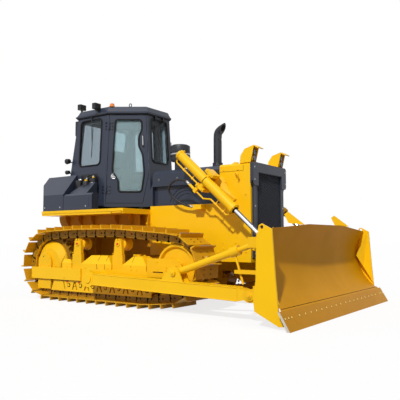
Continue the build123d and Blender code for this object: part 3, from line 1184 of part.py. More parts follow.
def corner_gusset():
    """The faceted filler in the right corner between the moldboard's face and the end plate."""
    inner_y = -END_PLATE_Y + END_PLATE
    deep = (MOLD_MID_X + 18, -BIT_Y, MOLD_MID_Z + 20)
    top = (MOLD_TOP_X + 9, inner_y, MOLD_CORNER_Z - 8)
    bend = (MOLD_MID_X + 87, inner_y, MOLD_MID_Z - 143)
    foot = (EDGE_TOP_X - 37, inner_y, EDGE_TOP_Z + 27)
    back = (MOLD_MID_X - 12, inner_y, MOLD_MID_Z)
    upper = polyhedron([deep, top, bend], [deep, bend, back], [deep, back, top], [top, back, bend])
    lower = polyhedron([deep, bend, foot], [deep, foot, back], [deep, back, bend], [bend, back, foot])
    return (upper + lower) & mold_front()


def mold_front():
    """The space ahead of the moldboard's front face."""
    foot, middle, top = mold_profile()
    face = Plane.XZ * make_face([ThreePointArc(foot, middle, top), Polyline(
        top, (BLADE_TIP_X + 200, top[1]), (BLADE_TIP_X + 200, foot[1]), foot)])
    return Pos(0, BLADE_HALF, 0) * extrude(face, amount=2 * BLADE_HALF, dir=(0, -1, 0))


def end_plates():
    """The right end plate with its lifting eye and the gusset inside it."""
    outline = [(BLADE_TIP_X - back, z) for back, z in END_OUTLINE]
    plate = side_plate(outline, -END_PLATE_Y, -END_PLATE_Y + END_PLATE)
    eye = disc(END_EYE_X, END_EYE_Z, -END_PLATE_Y - 1, -END_PLATE_Y + END_PLATE + 1, END_EYE_R)
    return plate - eye + corner_gusset()


def cutting_edge():
    """The two-piece cutting edge and its end bits."""
    run = (EDGE_TOP_X - BLADE_TIP_X, EDGE_TOP_Z)
    size = math.hypot(*run)
    back = (-run[1] / size * EDGE_THICK, run[0] / size * EDGE_THICK)
    tip, top = (BLADE_TIP_X, 0), (EDGE_TOP_X, EDGE_TOP_Z)
    outline = [tip, top, (top[0] + back[0], top[1] + back[1] + 10), (tip[0] - 36, 0)]
    gap = 2
    pieces = [(-BIT_Y + gap, -gap), (gap, BIT_Y - gap), (-BLADE_HALF, -BIT_Y - gap), (BIT_Y + gap, BLADE_HALF)]
    return [side_plate(outline, low, high) for low, high in pieces]


# ---------------------------------------------------------------- blade's back
BEAM_GAP = 28                # between a cross beam's end and the end plate
BEAM_HALF = END_PLATE_Y - END_PLATE - BEAM_GAP
UPPER_BEAM_X, LOWER_BEAM_X = (2000, 2122), (2060, 2230)
UPPER_BEAM_Z, LOWER_BEAM_Z = (860, 980), (300, 440)
LUG_THICK = 25
ARM_LUG, BRACE_LUG, LIFT_LUG = 110, 60, 72       # outer face of each pair of lugs, from its middle
RIB_YS = (480, 950, 1178, 1400)
ROD_CLEARANCE = 160          # the cross beam is cut away round the lift rod's eye


def lug_pair(middle_y, spread, outline):
    """Two lugs on both sides of a middle, spread apart to their outer faces."""
    outer = side_plate(outline, -middle_y - spread, -middle_y - spread + LUG_THICK)
    inner = side_plate(outline, -middle_y + spread - LUG_THICK, -middle_y + spread)
    return outer + inner


def blade_back():
    """The blade's back: ribs, cross beams, arm lugs, brace ears, lift lugs and the handle's fork."""
    right = block(UPPER_BEAM_X, (-BEAM_HALF, 1), UPPER_BEAM_Z) + block(LOWER_BEAM_X, (-BEAM_HALF, 1), LOWER_BEAM_Z)
    pocket_half = LIFT_LUG - LUG_THICK
    right -= disc(*LIFT_EYE, -LIFT_Y - pocket_half, -LIFT_Y + pocket_half, LIFT_EYE_R + ROD_CLEARANCE)
    upper_x, lower_x = UPPER_BEAM_X[0] + 60, LOWER_BEAM_X[0] + 20
    rib = [(MOLD_TOP_X - 63, MOLD_TOP_Z - 47), (UPPER_BEAM_X[1] + 8, UPPER_BEAM_Z[1] + 20), (upper_x, MOLD_MID_Z + 80),
           (upper_x - 20, LOWER_BEAM_Z[1] + 60), (lower_x, LOWER_BEAM_Z[0] - 40), (EDGE_TOP_X - 121, EDGE_TOP_Z),
           (MOLD_MID_X + 70, 400), (MOLD_MID_X, MOLD_MID_Z), (MOLD_MID_X + 30, 900)]
    for y in RIB_YS:
        right += side_plate(rib, -y - 10, -y + 10)
    right += lug_pair(ARM_Y, ARM_LUG, [
        (ARM_PIN_X - 20, ARM_PIN_Z - 75), (LOWER_BEAM_X[0] + 100, ARM_PIN_Z - 65),
        (LOWER_BEAM_X[0] + 100, ARM_PIN_Z + 135), (ARM_PIN_X - 20, ARM_PIN_Z + 75)])
    for y in (-ARM_Y - ARM_LUG, -ARM_Y + ARM_LUG - LUG_THICK):
        right += disc(ARM_PIN_X - 20, ARM_PIN_Z, y, y + LUG_THICK, 75)
    right += disc(ARM_PIN_X, ARM_PIN_Z, -ARM_Y - ARM_LUG - 8, -ARM_Y + ARM_LUG, ARM_PIN_R)
    right += lug_pair(ARM_Y, BRACE_LUG, [
        (BRACE_FRONT_X - 50, BRACE_FRONT_Z - 33), (UPPER_BEAM_X[0] + 10, BRACE_FRONT_Z - 93),
        (UPPER_BEAM_X[1] + 8, BRACE_FRONT_Z - 43), (UPPER_BEAM_X[1] + 8, BRACE_FRONT_Z + 107),
        (BRACE_FRONT_X - 30, BRACE_FRONT_Z + 52)])
    right += disc(*BRACE_FRONT, -ARM_Y - BRACE_LUG - 10, -ARM_Y + BRACE_LUG + 10, BRACE_PIN_R)
    right += lug_pair(LIFT_Y, LIFT_LUG, [
        (LIFT_EYE_X - 70, LIFT_EYE_Z - 46), (UPPER_BEAM_X[1], LIFT_EYE_Z - 250), (MOLD_MID_X, MOLD_MID_Z),
        (MOLD_MID_X, UPPER_BEAM_Z[1]), (LIFT_EYE_X - 50, LIFT_EYE_Z + 78)])
    right += handle_fork()
    return (right + left_of(right)) - mold_space()


def handle_fork():
    """The prongs on both sides of the screw brace's handle bar."""
    tube_end = BRACE_LENGTH - SCREW_OUT
    top_x, top_z = along(BRACE_REAR, BRACE_FRONT, tube_end - 70)
    z = top_z - 0.62 * HANDLE_DROP
    x = top_x + 0.62 * HANDLE_REACH
    prongs = None
    for y in (-ARM_Y - HANDLE_R - 30, -ARM_Y + HANDLE_R + 12):
        prong = block((x - 50, UPPER_BEAM_X[0] + 120), (y, y + 18), (z - 22, z + 22))
        prongs = prong if prongs is None else prongs + prong
    return prongs


def blade_fin():
    """The right fin plate that stands on the moldboard's top."""
    low = -LIFT_Y - 40
    foot_z = MOLD_TOP_Z - 9
    fin = side_plate([(MOLD_TOP_X - 200, foot_z + 160), (MOLD_TOP_X - 247, foot_z + 131), (MOLD_TOP_X - 193, foot_z + 22),
                      (MOLD_TOP_X - 33, foot_z), (MOLD_TOP_X + 13, foot_z)], low, low + LUG_THICK)
    return fin


# ---------------------------------------------------------------- write every node
def main():
    right_track = track()
    write("track_right", right_track)
    write("track_left", left_of(right_track))
    front, right, rear = cab_walls()
    door, door_pane = door_parts()
    arm, frame = push_arm(), track_frame()
    barrel, rod, right_hose = lift_barrel(), lift_rod(), hose()
    nodes = {
        "sprockets": both_sides(sprocket()),
        "final_drives": both_sides(final_drive()),
        "outer_bearings": both_sides(outer_bearing()),
        "track_frame_right": [frame],
        "track_frame_left": [left_of(frame)],
        "roller_guards": [g for guard in roller_guards() for g in both_sides(guard)],
        "track_rollers": [r for roller in track_rollers() for r in both_sides(roller)],
        "idlers": both_sides(idler()),
        "idler_yokes": both_sides(idler_yoke()),
        "carrier_rollers": [c for carrier in carrier_rollers() for c in both_sides(carrier)],
        "equalizer_bar": [equalizer_bar()],
        "main_frame": [main_frame()],
        "rear_case": [rear_case()],
        "engine": [engine()],
        "hood": [hood()],
        "side_panels": both_sides(side_panels()),
        "radiator_guard": [radiator_guard()],
        "grille": [grille()],
        "exhaust": [exhaust()],
        "precleaner": [precleaner()],
        "cab_floor": [cab_floor()],
        "cab_front": [front],
        "cab_side_right": [right],
        "cab_side_left": [left_of(right)],
        "cab_rear": [rear],
        "cab_roof": [cab_roof()],
        "work_lamps": work_lamps(),
        "beacon": [beacon()],
        "cab_glass": cab_glass(),
        "seat": [seat()],
        "console": [console()],
        "deck": [deck()],
        "deck_supports": supports(),
        "fuel_tank": [fuel_tank()],
        "side_boxes": both_sides(side_box()),
        "lift_yokes": both_sides(lift_yoke()),
        "lamp_brackets": both_sides(lamp_brackets()),
        "hose_right": [right_hose],
        "hose_left": [left_of(right_hose)],
        "door_right": [door],
        "door_left": [left_of(door)],
        "door_glass_right": [door_pane],
        "door_glass_left": [left_of(door_pane)],
        "lift_barrel_right": [barrel],
        "lift_barrel_left": [left_of(barrel)],
        "lift_rod_right": [rod],
        "lift_rod_left": [left_of(rod)],
        "push_arms": both_sides(arm),
        "brace_tube": [brace_tube()],
        "brace_screw": [brace_screw()],
        "tilt_barrel": [tilt_barrel()],
        "tilt_rod": [tilt_rod()],
        "moldboard": [moldboard()],
        "end_plates": both_sides(end_plates()),
        "cutting_edge": cutting_edge(),
        "blade_back": [blade_back()],
        "blade_fins": both_sides(blade_fin()),
    }
    for name, shapes in nodes.items():
        write(name, *shapes)


main()
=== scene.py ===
"""A crawler bulldozer with a straight tilt blade, dressed around its packed construction.

Lengths are metres; +X is forward, +Y the machine's left and +Z up, with the ground at Z = 0.
"""

import json
import logging
import math
from collections.abc import Iterable, Iterator, Sequence
from dataclasses import dataclass, field
from enum import Enum
from typing import TypeVar

import bmesh
import bpy
from mathutils import Matrix, Vector

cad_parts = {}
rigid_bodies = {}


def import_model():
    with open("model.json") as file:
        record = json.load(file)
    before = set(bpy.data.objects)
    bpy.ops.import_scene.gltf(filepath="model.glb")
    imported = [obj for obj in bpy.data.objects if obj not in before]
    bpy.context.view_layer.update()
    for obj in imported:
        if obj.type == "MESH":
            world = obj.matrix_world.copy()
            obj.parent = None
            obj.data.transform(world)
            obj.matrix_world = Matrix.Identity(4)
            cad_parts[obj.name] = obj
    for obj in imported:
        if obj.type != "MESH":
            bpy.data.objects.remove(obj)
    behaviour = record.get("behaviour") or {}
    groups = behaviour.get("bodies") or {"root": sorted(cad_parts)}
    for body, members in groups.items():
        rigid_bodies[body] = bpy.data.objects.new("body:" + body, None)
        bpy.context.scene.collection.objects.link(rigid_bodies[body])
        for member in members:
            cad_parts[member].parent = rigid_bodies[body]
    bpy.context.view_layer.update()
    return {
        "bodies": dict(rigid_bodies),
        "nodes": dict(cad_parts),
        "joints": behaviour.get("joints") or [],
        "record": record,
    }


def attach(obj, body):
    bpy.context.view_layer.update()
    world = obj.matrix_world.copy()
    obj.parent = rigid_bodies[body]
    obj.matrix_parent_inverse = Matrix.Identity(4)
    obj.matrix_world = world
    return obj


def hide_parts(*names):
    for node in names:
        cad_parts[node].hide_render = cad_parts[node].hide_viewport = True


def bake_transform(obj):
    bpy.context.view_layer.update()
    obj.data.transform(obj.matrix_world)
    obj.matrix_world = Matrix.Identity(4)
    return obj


LOG = logging.getLogger("bulldozer")
Colour = tuple[float, float, float]
Point = Sequence[float]
Kind = TypeVar("Kind")
Source = bpy.types.NodeSocket | float | tuple[float, ...]

CREASE = 0.6                # an edge that turns further than this, in radians, stays sharp
BEVEL_STEPS = 2
STOCK_SIDES = 8             # the sides of a ring's round stock
GRAIN_DEPTH = 0.002
# The brown that surfaces are darkened towards, most near the ground
GROUND_DARKENING_TONE: Colour = (0.2, 0.11, 0.03)
BARE_STEEL: Colour = (0.58, 0.54, 0.46)
WHITE = (1.0, 1.0, 1.0, 1.0)
FORWARD, RIGHT, UP = (1, 0, 0), (0, -1, 0), (0, 0, 1)


# ---------------------------------------------------------------- finishes
class Group(Enum):
    """The shader node groups that several finishes share."""

    MOTTLE = "surface_mottle"
    # Darkens surfaces towards a brown near the ground, in noisy patches
    GRIME = "ground_grime"


class Slot(Enum):
    """The machine's material slots."""

    YELLOW = "yellow_paint"
    GREY = "grey_paint"
    TRACK = "track_steel"
    DARK = "dark_steel"
    CHROME = "chrome"
    GLASS = "glass"
    FABRIC = "fabric"
    RUBBER = "rubber"
    AMBER = "amber_lens"


class Side(Enum):
    """The machine's two sides, as its operator names them."""

    RIGHT = "right"
    LEFT = "left"


class Shading:
    """A shader node tree in the making."""

    def __init__(self, tree: bpy.types.ShaderNodeTree) -> None:
        """Takes the tree that the nodes go in."""
        self.nodes, self.links = tree.nodes, tree.links

    def add(self, kind: str, inputs: dict[str | int, Source]) -> bpy.types.ShaderNode:
        """Adds a node.

        Args:
            kind: its type, without the prefix.
            inputs: what each of its sockets takes.

        Returns:
            The node.
        """
        node = self.nodes.new(f"ShaderNode{kind}")
        self.feed(node, inputs)
        return node

    def feed(self, node: bpy.types.ShaderNode, inputs: dict[str | int, Source]) -> None:
        """Links a node's sockets to other nodes' sockets, or sets their values.

        Args:
            node: the node.
            inputs: what each of its sockets takes.
        """
        for name, source in inputs.items():
            if isinstance(source, bpy.types.NodeSocket):
                self.links.new(source, node.inputs[name])
            else:
                node.inputs[name].default_value = source

    def group(self, tree: bpy.types.ShaderNodeTree, inputs: dict[str | int, Source]) -> bpy.types.ShaderNode:
        """Adds a node group.

        Args:
            tree: the group's tree.
            inputs: what each of its sockets takes.

        Returns:
            The group's node.
        """
        node = self.nodes.new("ShaderNodeGroup")
        node.node_tree = tree
        self.feed(node, inputs)
        return node

    def maths(self, operation: str, first: Source, second: Source = 0.0) -> bpy.types.NodeSocket:
        """Works on two values.

        Args:
            operation: what is done with them.
            first: the first value.
            second: the second value.

        Returns:
            The result's socket.
        """
        node = self.nodes.new("ShaderNodeMath")
        node.operation = operation
        self.feed(node, {0: first, 1: second})
        return node.outputs[0]

    def mixed(self, share: Source, under: Source, over: Source) -> bpy.types.NodeSocket:
        """Mixes two colours.

        Args:
            share: how much of the second shows.
            under: the first colour.
            over: the second colour.

        Returns:
            The result's socket.
        """
        node = self.nodes.new("ShaderNodeMix")
        node.data_type = "RGBA"
        self.feed(node, {"Factor": share, "A": under, "B": over})
        return node.outputs["Result"]

    def place(self) -> bpy.types.NodeSocket:
        """Gives the place on the machine."""
        return self.add("TexCoord", {}).outputs["Object"]

    def seen(self) -> bpy.types.NodeSocket:
        """Tells what is seen from what only casts light.

        Returns:
            The socket that is 1 where the camera, a mirror or a pane sees the surface.
        """
        path = self.add("LightPath", {}).outputs
        plain = self.maths("MAXIMUM", path["Is Camera Ray"], path["Is Glossy Ray"])
        return self.maths("MAXIMUM", plain, path["Is Transmission Ray"])


class NodeGroups:
    """Builds each shared shader node group once."""

    def __init__(self) -> None:
        """Starts with no group built."""
        self._built: dict[Group, bpy.types.ShaderNodeTree] = {}

    def get(self, group: Group) -> bpy.types.ShaderNodeTree:
        """Gives a shared group, building it at its first use.

        Args:
            group: which group is wanted.

        Returns:
            The group's node tree.
        """
        if group not in self._built:
            makers = {Group.MOTTLE: self._mottle, Group.GRIME: self._darkening_near_ground}
            self._built[group] = makers[group]()
        return self._built[group]

    @staticmethod
    def _tree(group: Group, inputs: dict[str, float], outputs: list[str]) -> bpy.types.ShaderNodeTree:
        """Makes an empty group with float sockets.

        Args:
            group: the group's name.
            inputs: each input's name and default.
            outputs: the outputs' names.

        Returns:
            The node tree, with its input and output nodes in place.
        """
        tree = bpy.data.node_groups.new(group.value, "ShaderNodeTree")
        for name, value in inputs.items():
            socket = tree.interface.new_socket(name, in_out="INPUT", socket_type="NodeSocketFloat")
            socket.default_value = value
        for name in outputs:
            tree.interface.new_socket(name, in_out="OUTPUT", socket_type="NodeSocketFloat")
        tree.nodes.new("NodeGroupInput").name = "In"
        tree.nodes.new("NodeGroupOutput").name = "Out"
        return tree

    def _mottle(self) -> bpy.types.ShaderNodeTree:
        """Builds the broad and fine variation of a painted surface.

        Returns:
            The group's node tree, which gives a mask and a height.
        """
        tree = self._tree(Group.MOTTLE, {"Scale": 2.2, "Grain": 170.0}, ["Broad", "Fine"])
        shading, given = Shading(tree), tree.nodes["In"].outputs
        place = shading.place()
        for name, source, detail in (("Broad", "Scale", 5.0), ("Fine", "Grain", 2.0)):
            noise = shading.add("TexNoise", {"Vector": place, "Scale": given[source], "Detail": detail})
            shading.feed(tree.nodes["Out"], {name: noise.outputs["Fac"]})
        return tree

    def _darkening_near_ground(self) -> bpy.types.ShaderNodeTree:
        """Builds a darkening in noisy patches that fades out with height over the ground.

        Returns:
            The group's node tree, which gives a mask.
        """
        tree = self._tree(Group.GRIME, {"Top": 0.6, "Amount": 0.3}, ["Mask"])
        shading, given = Shading(tree), tree.nodes["In"].outputs
        place = shading.place()
        height = shading.add("SeparateXYZ", {0: place}).outputs["Z"]
        fade = shading.add("MapRange", {
            "Value": height, "From Max": given["Top"], "To Min": 1.0, "To Max": 0.0})
        noise = shading.add("TexNoise", {"Vector": place, "Scale": 9.0, "Detail": 6.0})
        patch = shading.maths("MULTIPLY", fade.outputs["Result"], noise.outputs["Fac"])
        shading.feed(tree.nodes["Out"], {"Mask": shading.maths("MULTIPLY", patch, given["Amount"])})
        return tree


GROUPS = NodeGroups()


@dataclass(frozen=True)
class Finish:
    """A surface finish on the Principled shader, with mottle and a darkening near the ground.

    Attributes:
        shade: how much darker the mottle's dark patches are.
        ground_darkening: how far the surface darkens towards a brown near the ground, in noisy patches that
            fade with height.
        bump: strength of the fine grain, such as orange peel or a casting's skin.
        grain: scale of that grain.
        rim: a painted reflection: the dark colour mixed in where the surface turns away, standing in for the
            dark surroundings that a polished rod reflects at its edges.
        bare_from: the distance to the side past which the paint is worn to the steel, or 0.
    """

    name: str
    colour: Colour
    roughness: float = 0.5
    metallic: float = 0.0
    coat: float = 0.0
    shade: float = 0.06
    ground_darkening: float = 0.0
    bump: float = 0.05
    grain: float = 170.0
    transmission: float = 0.0
    ior: float = 1.45
    sheen: float = 0.0
    specular: float = 0.5
    rim: Colour | None = None
    bare_from: float = 0.0

    def build(self) -> bpy.types.Material:
        """Makes the material, or gives the one already made.

        Returns:
            The finished material.
        """
        found = bpy.data.materials.get(self.name)
        if found:
            return found
        material = bpy.data.materials.new(self.name)
        material.use_nodes = True
        shading = Shading(material.node_tree)
        mottle = shading.group(GROUPS.get(Group.MOTTLE), {"Grain": self.grain})
        last = self._tinted(shading, mottle)
        # Painted reflection: darker towards the edges that turn away, as on a polished rod
        if self.rim:
            last = self._painted_edge_reflection(shading, last)
        if self.bare_from:
            last = self._bared(shading, last)
        spread = 0.0 if self.transmission else 0.07
        rough = shading.add("MapRange", {
            "Value": mottle.outputs["Broad"], "To Min": max(0.02, self.roughness - spread),
            "To Max": min(1.0, self.roughness + spread)})
        inputs: dict[str | int, Source] = {
            "Base Color": last, "Roughness": rough.outputs["Result"], "Metallic": self.metallic,
            "Coat Weight": self.coat, "Coat Roughness": 0.1, "IOR": self.ior,
            "Transmission Weight": self.transmission, "Sheen Weight": self.sheen,
            "Specular IOR Level": self.specular}
        if self.bump:
            inputs["Normal"] = shading.add("Bump", {
                "Strength": self.bump, "Distance": GRAIN_DEPTH, "Height": mottle.outputs["Fine"],
            }).outputs["Normal"]
        shading.feed(shading.nodes["Principled BSDF"], inputs)
        return material

    def _tinted(self, shading: Shading, mottle: bpy.types.ShaderNode) -> bpy.types.NodeSocket:
        """Mixes the mottle's darker tint and the darkening near the ground into the colour.

        Args:
            shading: the material's nodes.
            mottle: the node of the mottle group.

        Returns:
            The socket that gives the surface's colour.
        """
        dark = [c * (1 - 3 * self.shade) for c in self.colour]
        tint = shading.mixed(mottle.outputs["Broad"], (*self.colour, 1), (*dark, 1))
        if not self.ground_darkening:
            return tint
        # Darker towards the ground, in noisy patches that fade with height
        darkening = shading.group(GROUPS.get(Group.GRIME), {"Amount": self.ground_darkening})
        return shading.mixed(darkening.outputs["Mask"], tint, (*GROUND_DARKENING_TONE, 1))

    def _painted_edge_reflection(self, shading: Shading, last: bpy.types.NodeSocket) -> bpy.types.NodeSocket:
        """Mixes in the painted reflection: the rim colour where the surface turns away, standing in for the
        dark surroundings that a polished rod reflects.

        Args:
            shading: the material's nodes.
            last: the socket of the colour so far.

        Returns:
            The socket that gives the surface's colour.
        """
        facing = shading.add("LayerWeight", {"Blend": 0.5}).outputs["Facing"]
        reach = shading.add("MapRange", {"Value": facing, "From Min": 0.1, "From Max": 0.34})
        return shading.mixed(reach.outputs["Result"], last, (*self.rim, 1))

    def _bared(self, shading: Shading, last: bpy.types.NodeSocket) -> bpy.types.NodeSocket:
        """Wears the paint off past a distance to either side.

        Args:
            shading: the material's nodes.
            last: the socket of the colour so far.

        Returns:
            The socket that gives the surface's colour.
        """
        across = shading.add("SeparateXYZ", {0: shading.place()}).outputs["Y"]
        worn = shading.maths("GREATER_THAN", shading.maths("ABSOLUTE", across), self.bare_from)
        return shading.mixed(worn, last, (*BARE_STEEL, 1))


class Finishes:
    """The machine's finishes by name."""

    YELLOW = Finish("yellow_gloss", (0.95, 0.545, 0.005), 0.38, coat=0.1, shade=0.03, ground_darkening=0.1,
                    specular=0.2)
    # A darker copy of the yellow paint: painted shade for the frame, the rear case and the panels under the
    # deck
    AMBER = Finish("yellow_shadowed_panels", (0.66, 0.3, 0.006), 0.48, shade=0.1, ground_darkening=0.2, specular=0.2)
    # A darker copy of the yellow paint: painted shade for the blade's dimmer face
    SHADED_BLADE_YELLOW = Finish("yellow_blade_sheet_painted_shade", (0.68, 0.305, 0.004), 0.36, shade=0.08, ground_darkening=0.18, grain=60,
                   specular=0.04)
    PLATE = Finish("yellow_blade_ends", (0.95, 0.545, 0.005), 0.42, coat=0.05, shade=0.03, ground_darkening=0.1,
                   specular=0.15)
    CAST = Finish("yellow_castings", (0.94, 0.525, 0.006), 0.46, coat=0.05, shade=0.05, ground_darkening=0.2, bump=0.16,
                  grain=110, specular=0.2)
    TRACK = Finish("yellow_track_steel", (0.86, 0.44, 0.008), 0.46, coat=0.05, shade=0.14, ground_darkening=0.4,
                   bump=0.2, grain=90, specular=0.3)
    LINK = Finish("oiled_link_steel", (0.5, 0.25, 0.01), 0.48, metallic=0.1, shade=0.2, ground_darkening=0.3, bump=0.2,
                  specular=0.3)
    TOOTH = Finish("oiled_sprocket_steel", (0.42, 0.2, 0.008), 0.5, shade=0.25, ground_darkening=0.3, bump=0.2,
                   specular=0.2)
    # A darker copy of the yellow paint, as painted shade; past bare_from it shows bared steel
    SHADED_EDGE_YELLOW = Finish("yellow_cutting_edge_painted_shade", (0.66, 0.29, 0.008), 0.38, shade=0.08, ground_darkening=0.2, bump=0.2, grain=70,
                  specular=0.06, bare_from=1.6925)
    EDGE_BOLT = Finish("yellow_edge_bolts", (0.98, 0.62, 0.1), 0.35, coat=0.2, shade=0.05)
    WORN = Finish("bared_steel", (0.62, 0.6, 0.58), 0.36, metallic=0.85, shade=0.2, bump=0.2, grain=60)
    SLATE = Finish("slate_satin_paint", (0.03, 0.038, 0.062), 0.36, coat=0.06, shade=0.04, specular=0.35)
    SOOT = Finish("black_stack_steel", (0.022, 0.024, 0.032), 0.42, metallic=0.1, shade=0.12, bump=0.12)
    BLACK = Finish("black_fittings", (0.008, 0.008, 0.01), 0.42, shade=0.1)
    MESH = Finish("slate_screen_wire", (0.035, 0.04, 0.055), 0.5, shade=0.1, specular=0.25)
    GAUZE = Finish("black_screen_gauze", (0.01, 0.012, 0.018), 0.6, shade=0.1, bump=0.4, grain=160,
                   specular=0.2)
    # Near-black: painted shade in holes, pockets, slits, gaps and creases, and the colour of dark seams and
    # small black parts
    BLACK_AND_PAINTED_SHADE = Finish("near_black_and_painted_shade", (0.01, 0.007, 0.004), 0.8, shade=0.1, specular=0.1)
    GASKET = Finish("black_gasket_rubber", (0.005, 0.005, 0.006), 0.55, shade=0.15, bump=0.1, specular=0.3)
    HOSE = Finish("hose_rubber", (0.012, 0.011, 0.011), 0.5, shade=0.15, bump=0.3, grain=220)
    STEEL = Finish("zinc_plated_steel", (0.58, 0.58, 0.59), 0.32, metallic=0.9, shade=0.1)
    DULL = Finish("dull_plated_steel", (0.2, 0.2, 0.21), 0.4, metallic=0.7, shade=0.1)
    # Its rim colour is a painted reflection: dark blue edges round a light middle streak on the rods
    CHROME = Finish("hard_chrome", (0.86, 0.88, 0.92), 0.09, metallic=1.0, shade=0.02, bump=0.0,
                    rim=(0.07, 0.1, 0.17))
    GLASS = Finish("tinted_door_glass", (0.58, 0.76, 0.8), 0.05, transmission=0.72, shade=0.02, bump=0.0,
                   ior=1.2)
    PANE = Finish("clear_cab_glass", (0.52, 0.58, 0.62), 0.04, transmission=0.95, shade=0.01, bump=0.0,
                  ior=1.15)
    LENS = Finish("lamp_lens", (0.1, 0.12, 0.15), 0.08, coat=1.0, shade=0.05, bump=0.3, grain=300,
                  metallic=0.3)
    PLUG = Finish("red_grease_plugs", (0.7, 0.004, 0.008), 0.4, shade=0.05)
    BEACON = Finish("amber_beacon_lens", (0.9, 0.25, 0.01), 0.12, coat=0.8, shade=0.1, bump=0.2, grain=240)
    SEAT = Finish("woven_seat_cover", (0.03, 0.032, 0.04), 0.85, shade=0.15, bump=0.7, grain=420, sheen=0.3)
    VINYL = Finish("moulded_trim", (0.03, 0.032, 0.038), 0.55, shade=0.08, bump=0.3, grain=300)


# ---------------------------------------------------------------- making pieces
def of_kind(geom: Sequence[object], kind: type[Kind]) -> list[Kind]:
    """Picks the elements of one kind from what an operator gave."""
    return [element for element in geom if isinstance(element, kind)]


def once(elements: Iterable[Kind]) -> list[Kind]:
    """Lists elements in their order, each only once."""
    return list(dict.fromkeys(elements))


class Blank:
    """A piece in the making: a bmesh that operators shape, in zones of one finish each.

    Every shape is made in a local frame, which is the machine's own until it is changed.
    """

    def __init__(self) -> None:
        """Starts with an empty mesh in the machine's frame."""
        self.mesh = bmesh.new()
        self.frame = Matrix.Identity(4)

    def _settle(self, verts: list[bmesh.types.BMVert], zone: int, edge: float) -> None:
        """Bevels a new shape's sharp edges and gives its faces their zone.

        Args:
            verts: the new shape's vertices.
            zone: the index of the finish.
            edge: the bevel's width, or 0.
        """
        for face in once(f for v in verts for f in v.link_faces):
            face.material_index = zone
        if edge:
            sharp = once(e for v in verts for e in v.link_edges if e.calc_face_angle(0) > CREASE)
            bmesh.ops.bevel(self.mesh, geom=sharp, offset=edge, offset_type="OFFSET", affect="EDGES",
                            segments=BEVEL_STEPS, profile=0.5, material=-1, clamp_overlap=True)

    def block(self, low: Point, high: Point, edge: float = 0.0, zone: int = 0) -> None:
        """Adds a box between two corners of the frame.

        Args:
            low: the lowest corner.
            high: the highest corner.
            edge: the bevel's width.
            zone: the index of the finish.
        """
        low, high = Vector(low), Vector(high)
        place = Matrix.Translation((low + high) / 2) @ Matrix.Diagonal((*(high - low), 1))
        made = bmesh.ops.create_cube(self.mesh, size=1.0, matrix=self.frame @ place)
        self._settle(made["verts"], zone, edge)

    def bar(self, start: Point, end: Point, radius: float, end_radius: float | None = None, sides: int = 16,
            edge: float = 0.0, zone: int = 0) -> None:
        """Adds a round or many-sided bar between two points.

        Args:
            start: the middle of its first end.
            end: the middle of its other end.
            radius: the radius at the start.
            end_radius: the radius at the end, where it tapers.
            sides: the number of its sides.
            edge: the bevel's width.
            zone: the index of the finish.
        """
        start, end = Vector(start), Vector(end)
        run = end - start
        place = Matrix.Translation((start + end) / 2) @ run.to_track_quat("Z", "Y").to_matrix().to_4x4()
        made = bmesh.ops.create_cone(self.mesh, cap_ends=True, segments=sides, radius1=radius,
                                     radius2=radius if end_radius is None else end_radius, depth=run.length,
                                     matrix=self.frame @ place)
        self._settle(made["verts"], zone, edge)

    def bolt(self, place: Point, out: Point, size: float, zone: int = 0, washer: bool = True) -> None:
        """Adds a hexagon bolt head, on its washer, that stands on a surface.

        Args:
            place: the foot's middle on the surface.
            out: the surface's outward direction.
            size: the width of the head across its flats.
            zone: the index of the finish.
            washer: whether it has a washer.
        """
        place, out = Vector(place), Vector(out).normalized()
        if washer:
            self.bar(place - out * 0.002, place + out * 0.003, size * 0.85, sides=12, zone=zone)
        self.bar(place - out * 0.001, place + out * size * 0.5, size * 0.56, sides=6, edge=size * 0.05,
                 zone=zone)

    def plate(self, corners: Sequence[Point], thickness: Point, edge: float = 0.0, zone: int = 0) -> None:
        """Adds a flat plate from its outline.

        Args:
            corners: the outline's corners.
            thickness: the vector from the outline to the other face.
            edge: the bevel's width.
            zone: the index of the finish.
        """
        verts = [self.mesh.verts.new(self.frame @ Vector(c)) for c in corners]
        face = self.mesh.faces.new(verts)
        made = bmesh.ops.extrude_face_region(self.mesh, geom=[face], use_keep_orig=True)
        moved = of_kind(made["geom"], bmesh.types.BMVert)
        bmesh.ops.translate(self.mesh, vec=self.frame.to_3x3() @ Vector(thickness), verts=moved)
        bmesh.ops.recalc_face_normals(self.mesh, faces=once(f for v in verts + moved for f in v.link_faces))
        self._settle(verts + moved, zone, edge)

    def ring(self, middle: Point, out: Point, radius: float, thick: float, sides: int = 24,
             zone: int = 0) -> None:
        """Adds a round ring, by spinning a small circle.

        Args:
            middle: the ring's middle.
            out: its axis.
            radius: the radius to the middle of its stock.
            thick: the radius of the stock.
            sides: the steps round it.
            zone: the index of the finish.
        """
        middle, out = Vector(middle), Vector(out).normalized()
        across = out.orthogonal().normalized()
        turn = out.cross(across).to_track_quat("Z", "Y").to_matrix().to_4x4()
        place = Matrix.Translation(middle + across * radius) @ turn
        made = bmesh.ops.create_circle(self.mesh, cap_ends=False, segments=STOCK_SIDES, radius=thick,
                                       matrix=self.frame @ place)
        old = set(self.mesh.faces)
        edges = once(e for v in made["verts"] for e in v.link_edges)
        bmesh.ops.spin(self.mesh, geom=made["verts"] + edges, cent=self.frame @ middle,
                       axis=self.frame.to_3x3() @ out, angle=2 * math.pi, steps=sides, use_merge=True,
                       use_duplicate=False)
        self._turn_out([face for face in self.mesh.faces if face not in old], zone)

    def _turn_out(self, faces: list[bmesh.types.BMFace], zone: int) -> None:
        """Points a closed shape's faces outwards and gives them their zone.

        Args:
            faces: the shape's faces.
            zone: the index of the finish.
        """
        bmesh.ops.recalc_face_normals(self.mesh, faces=faces)
        for face in faces:
            face.material_index = zone

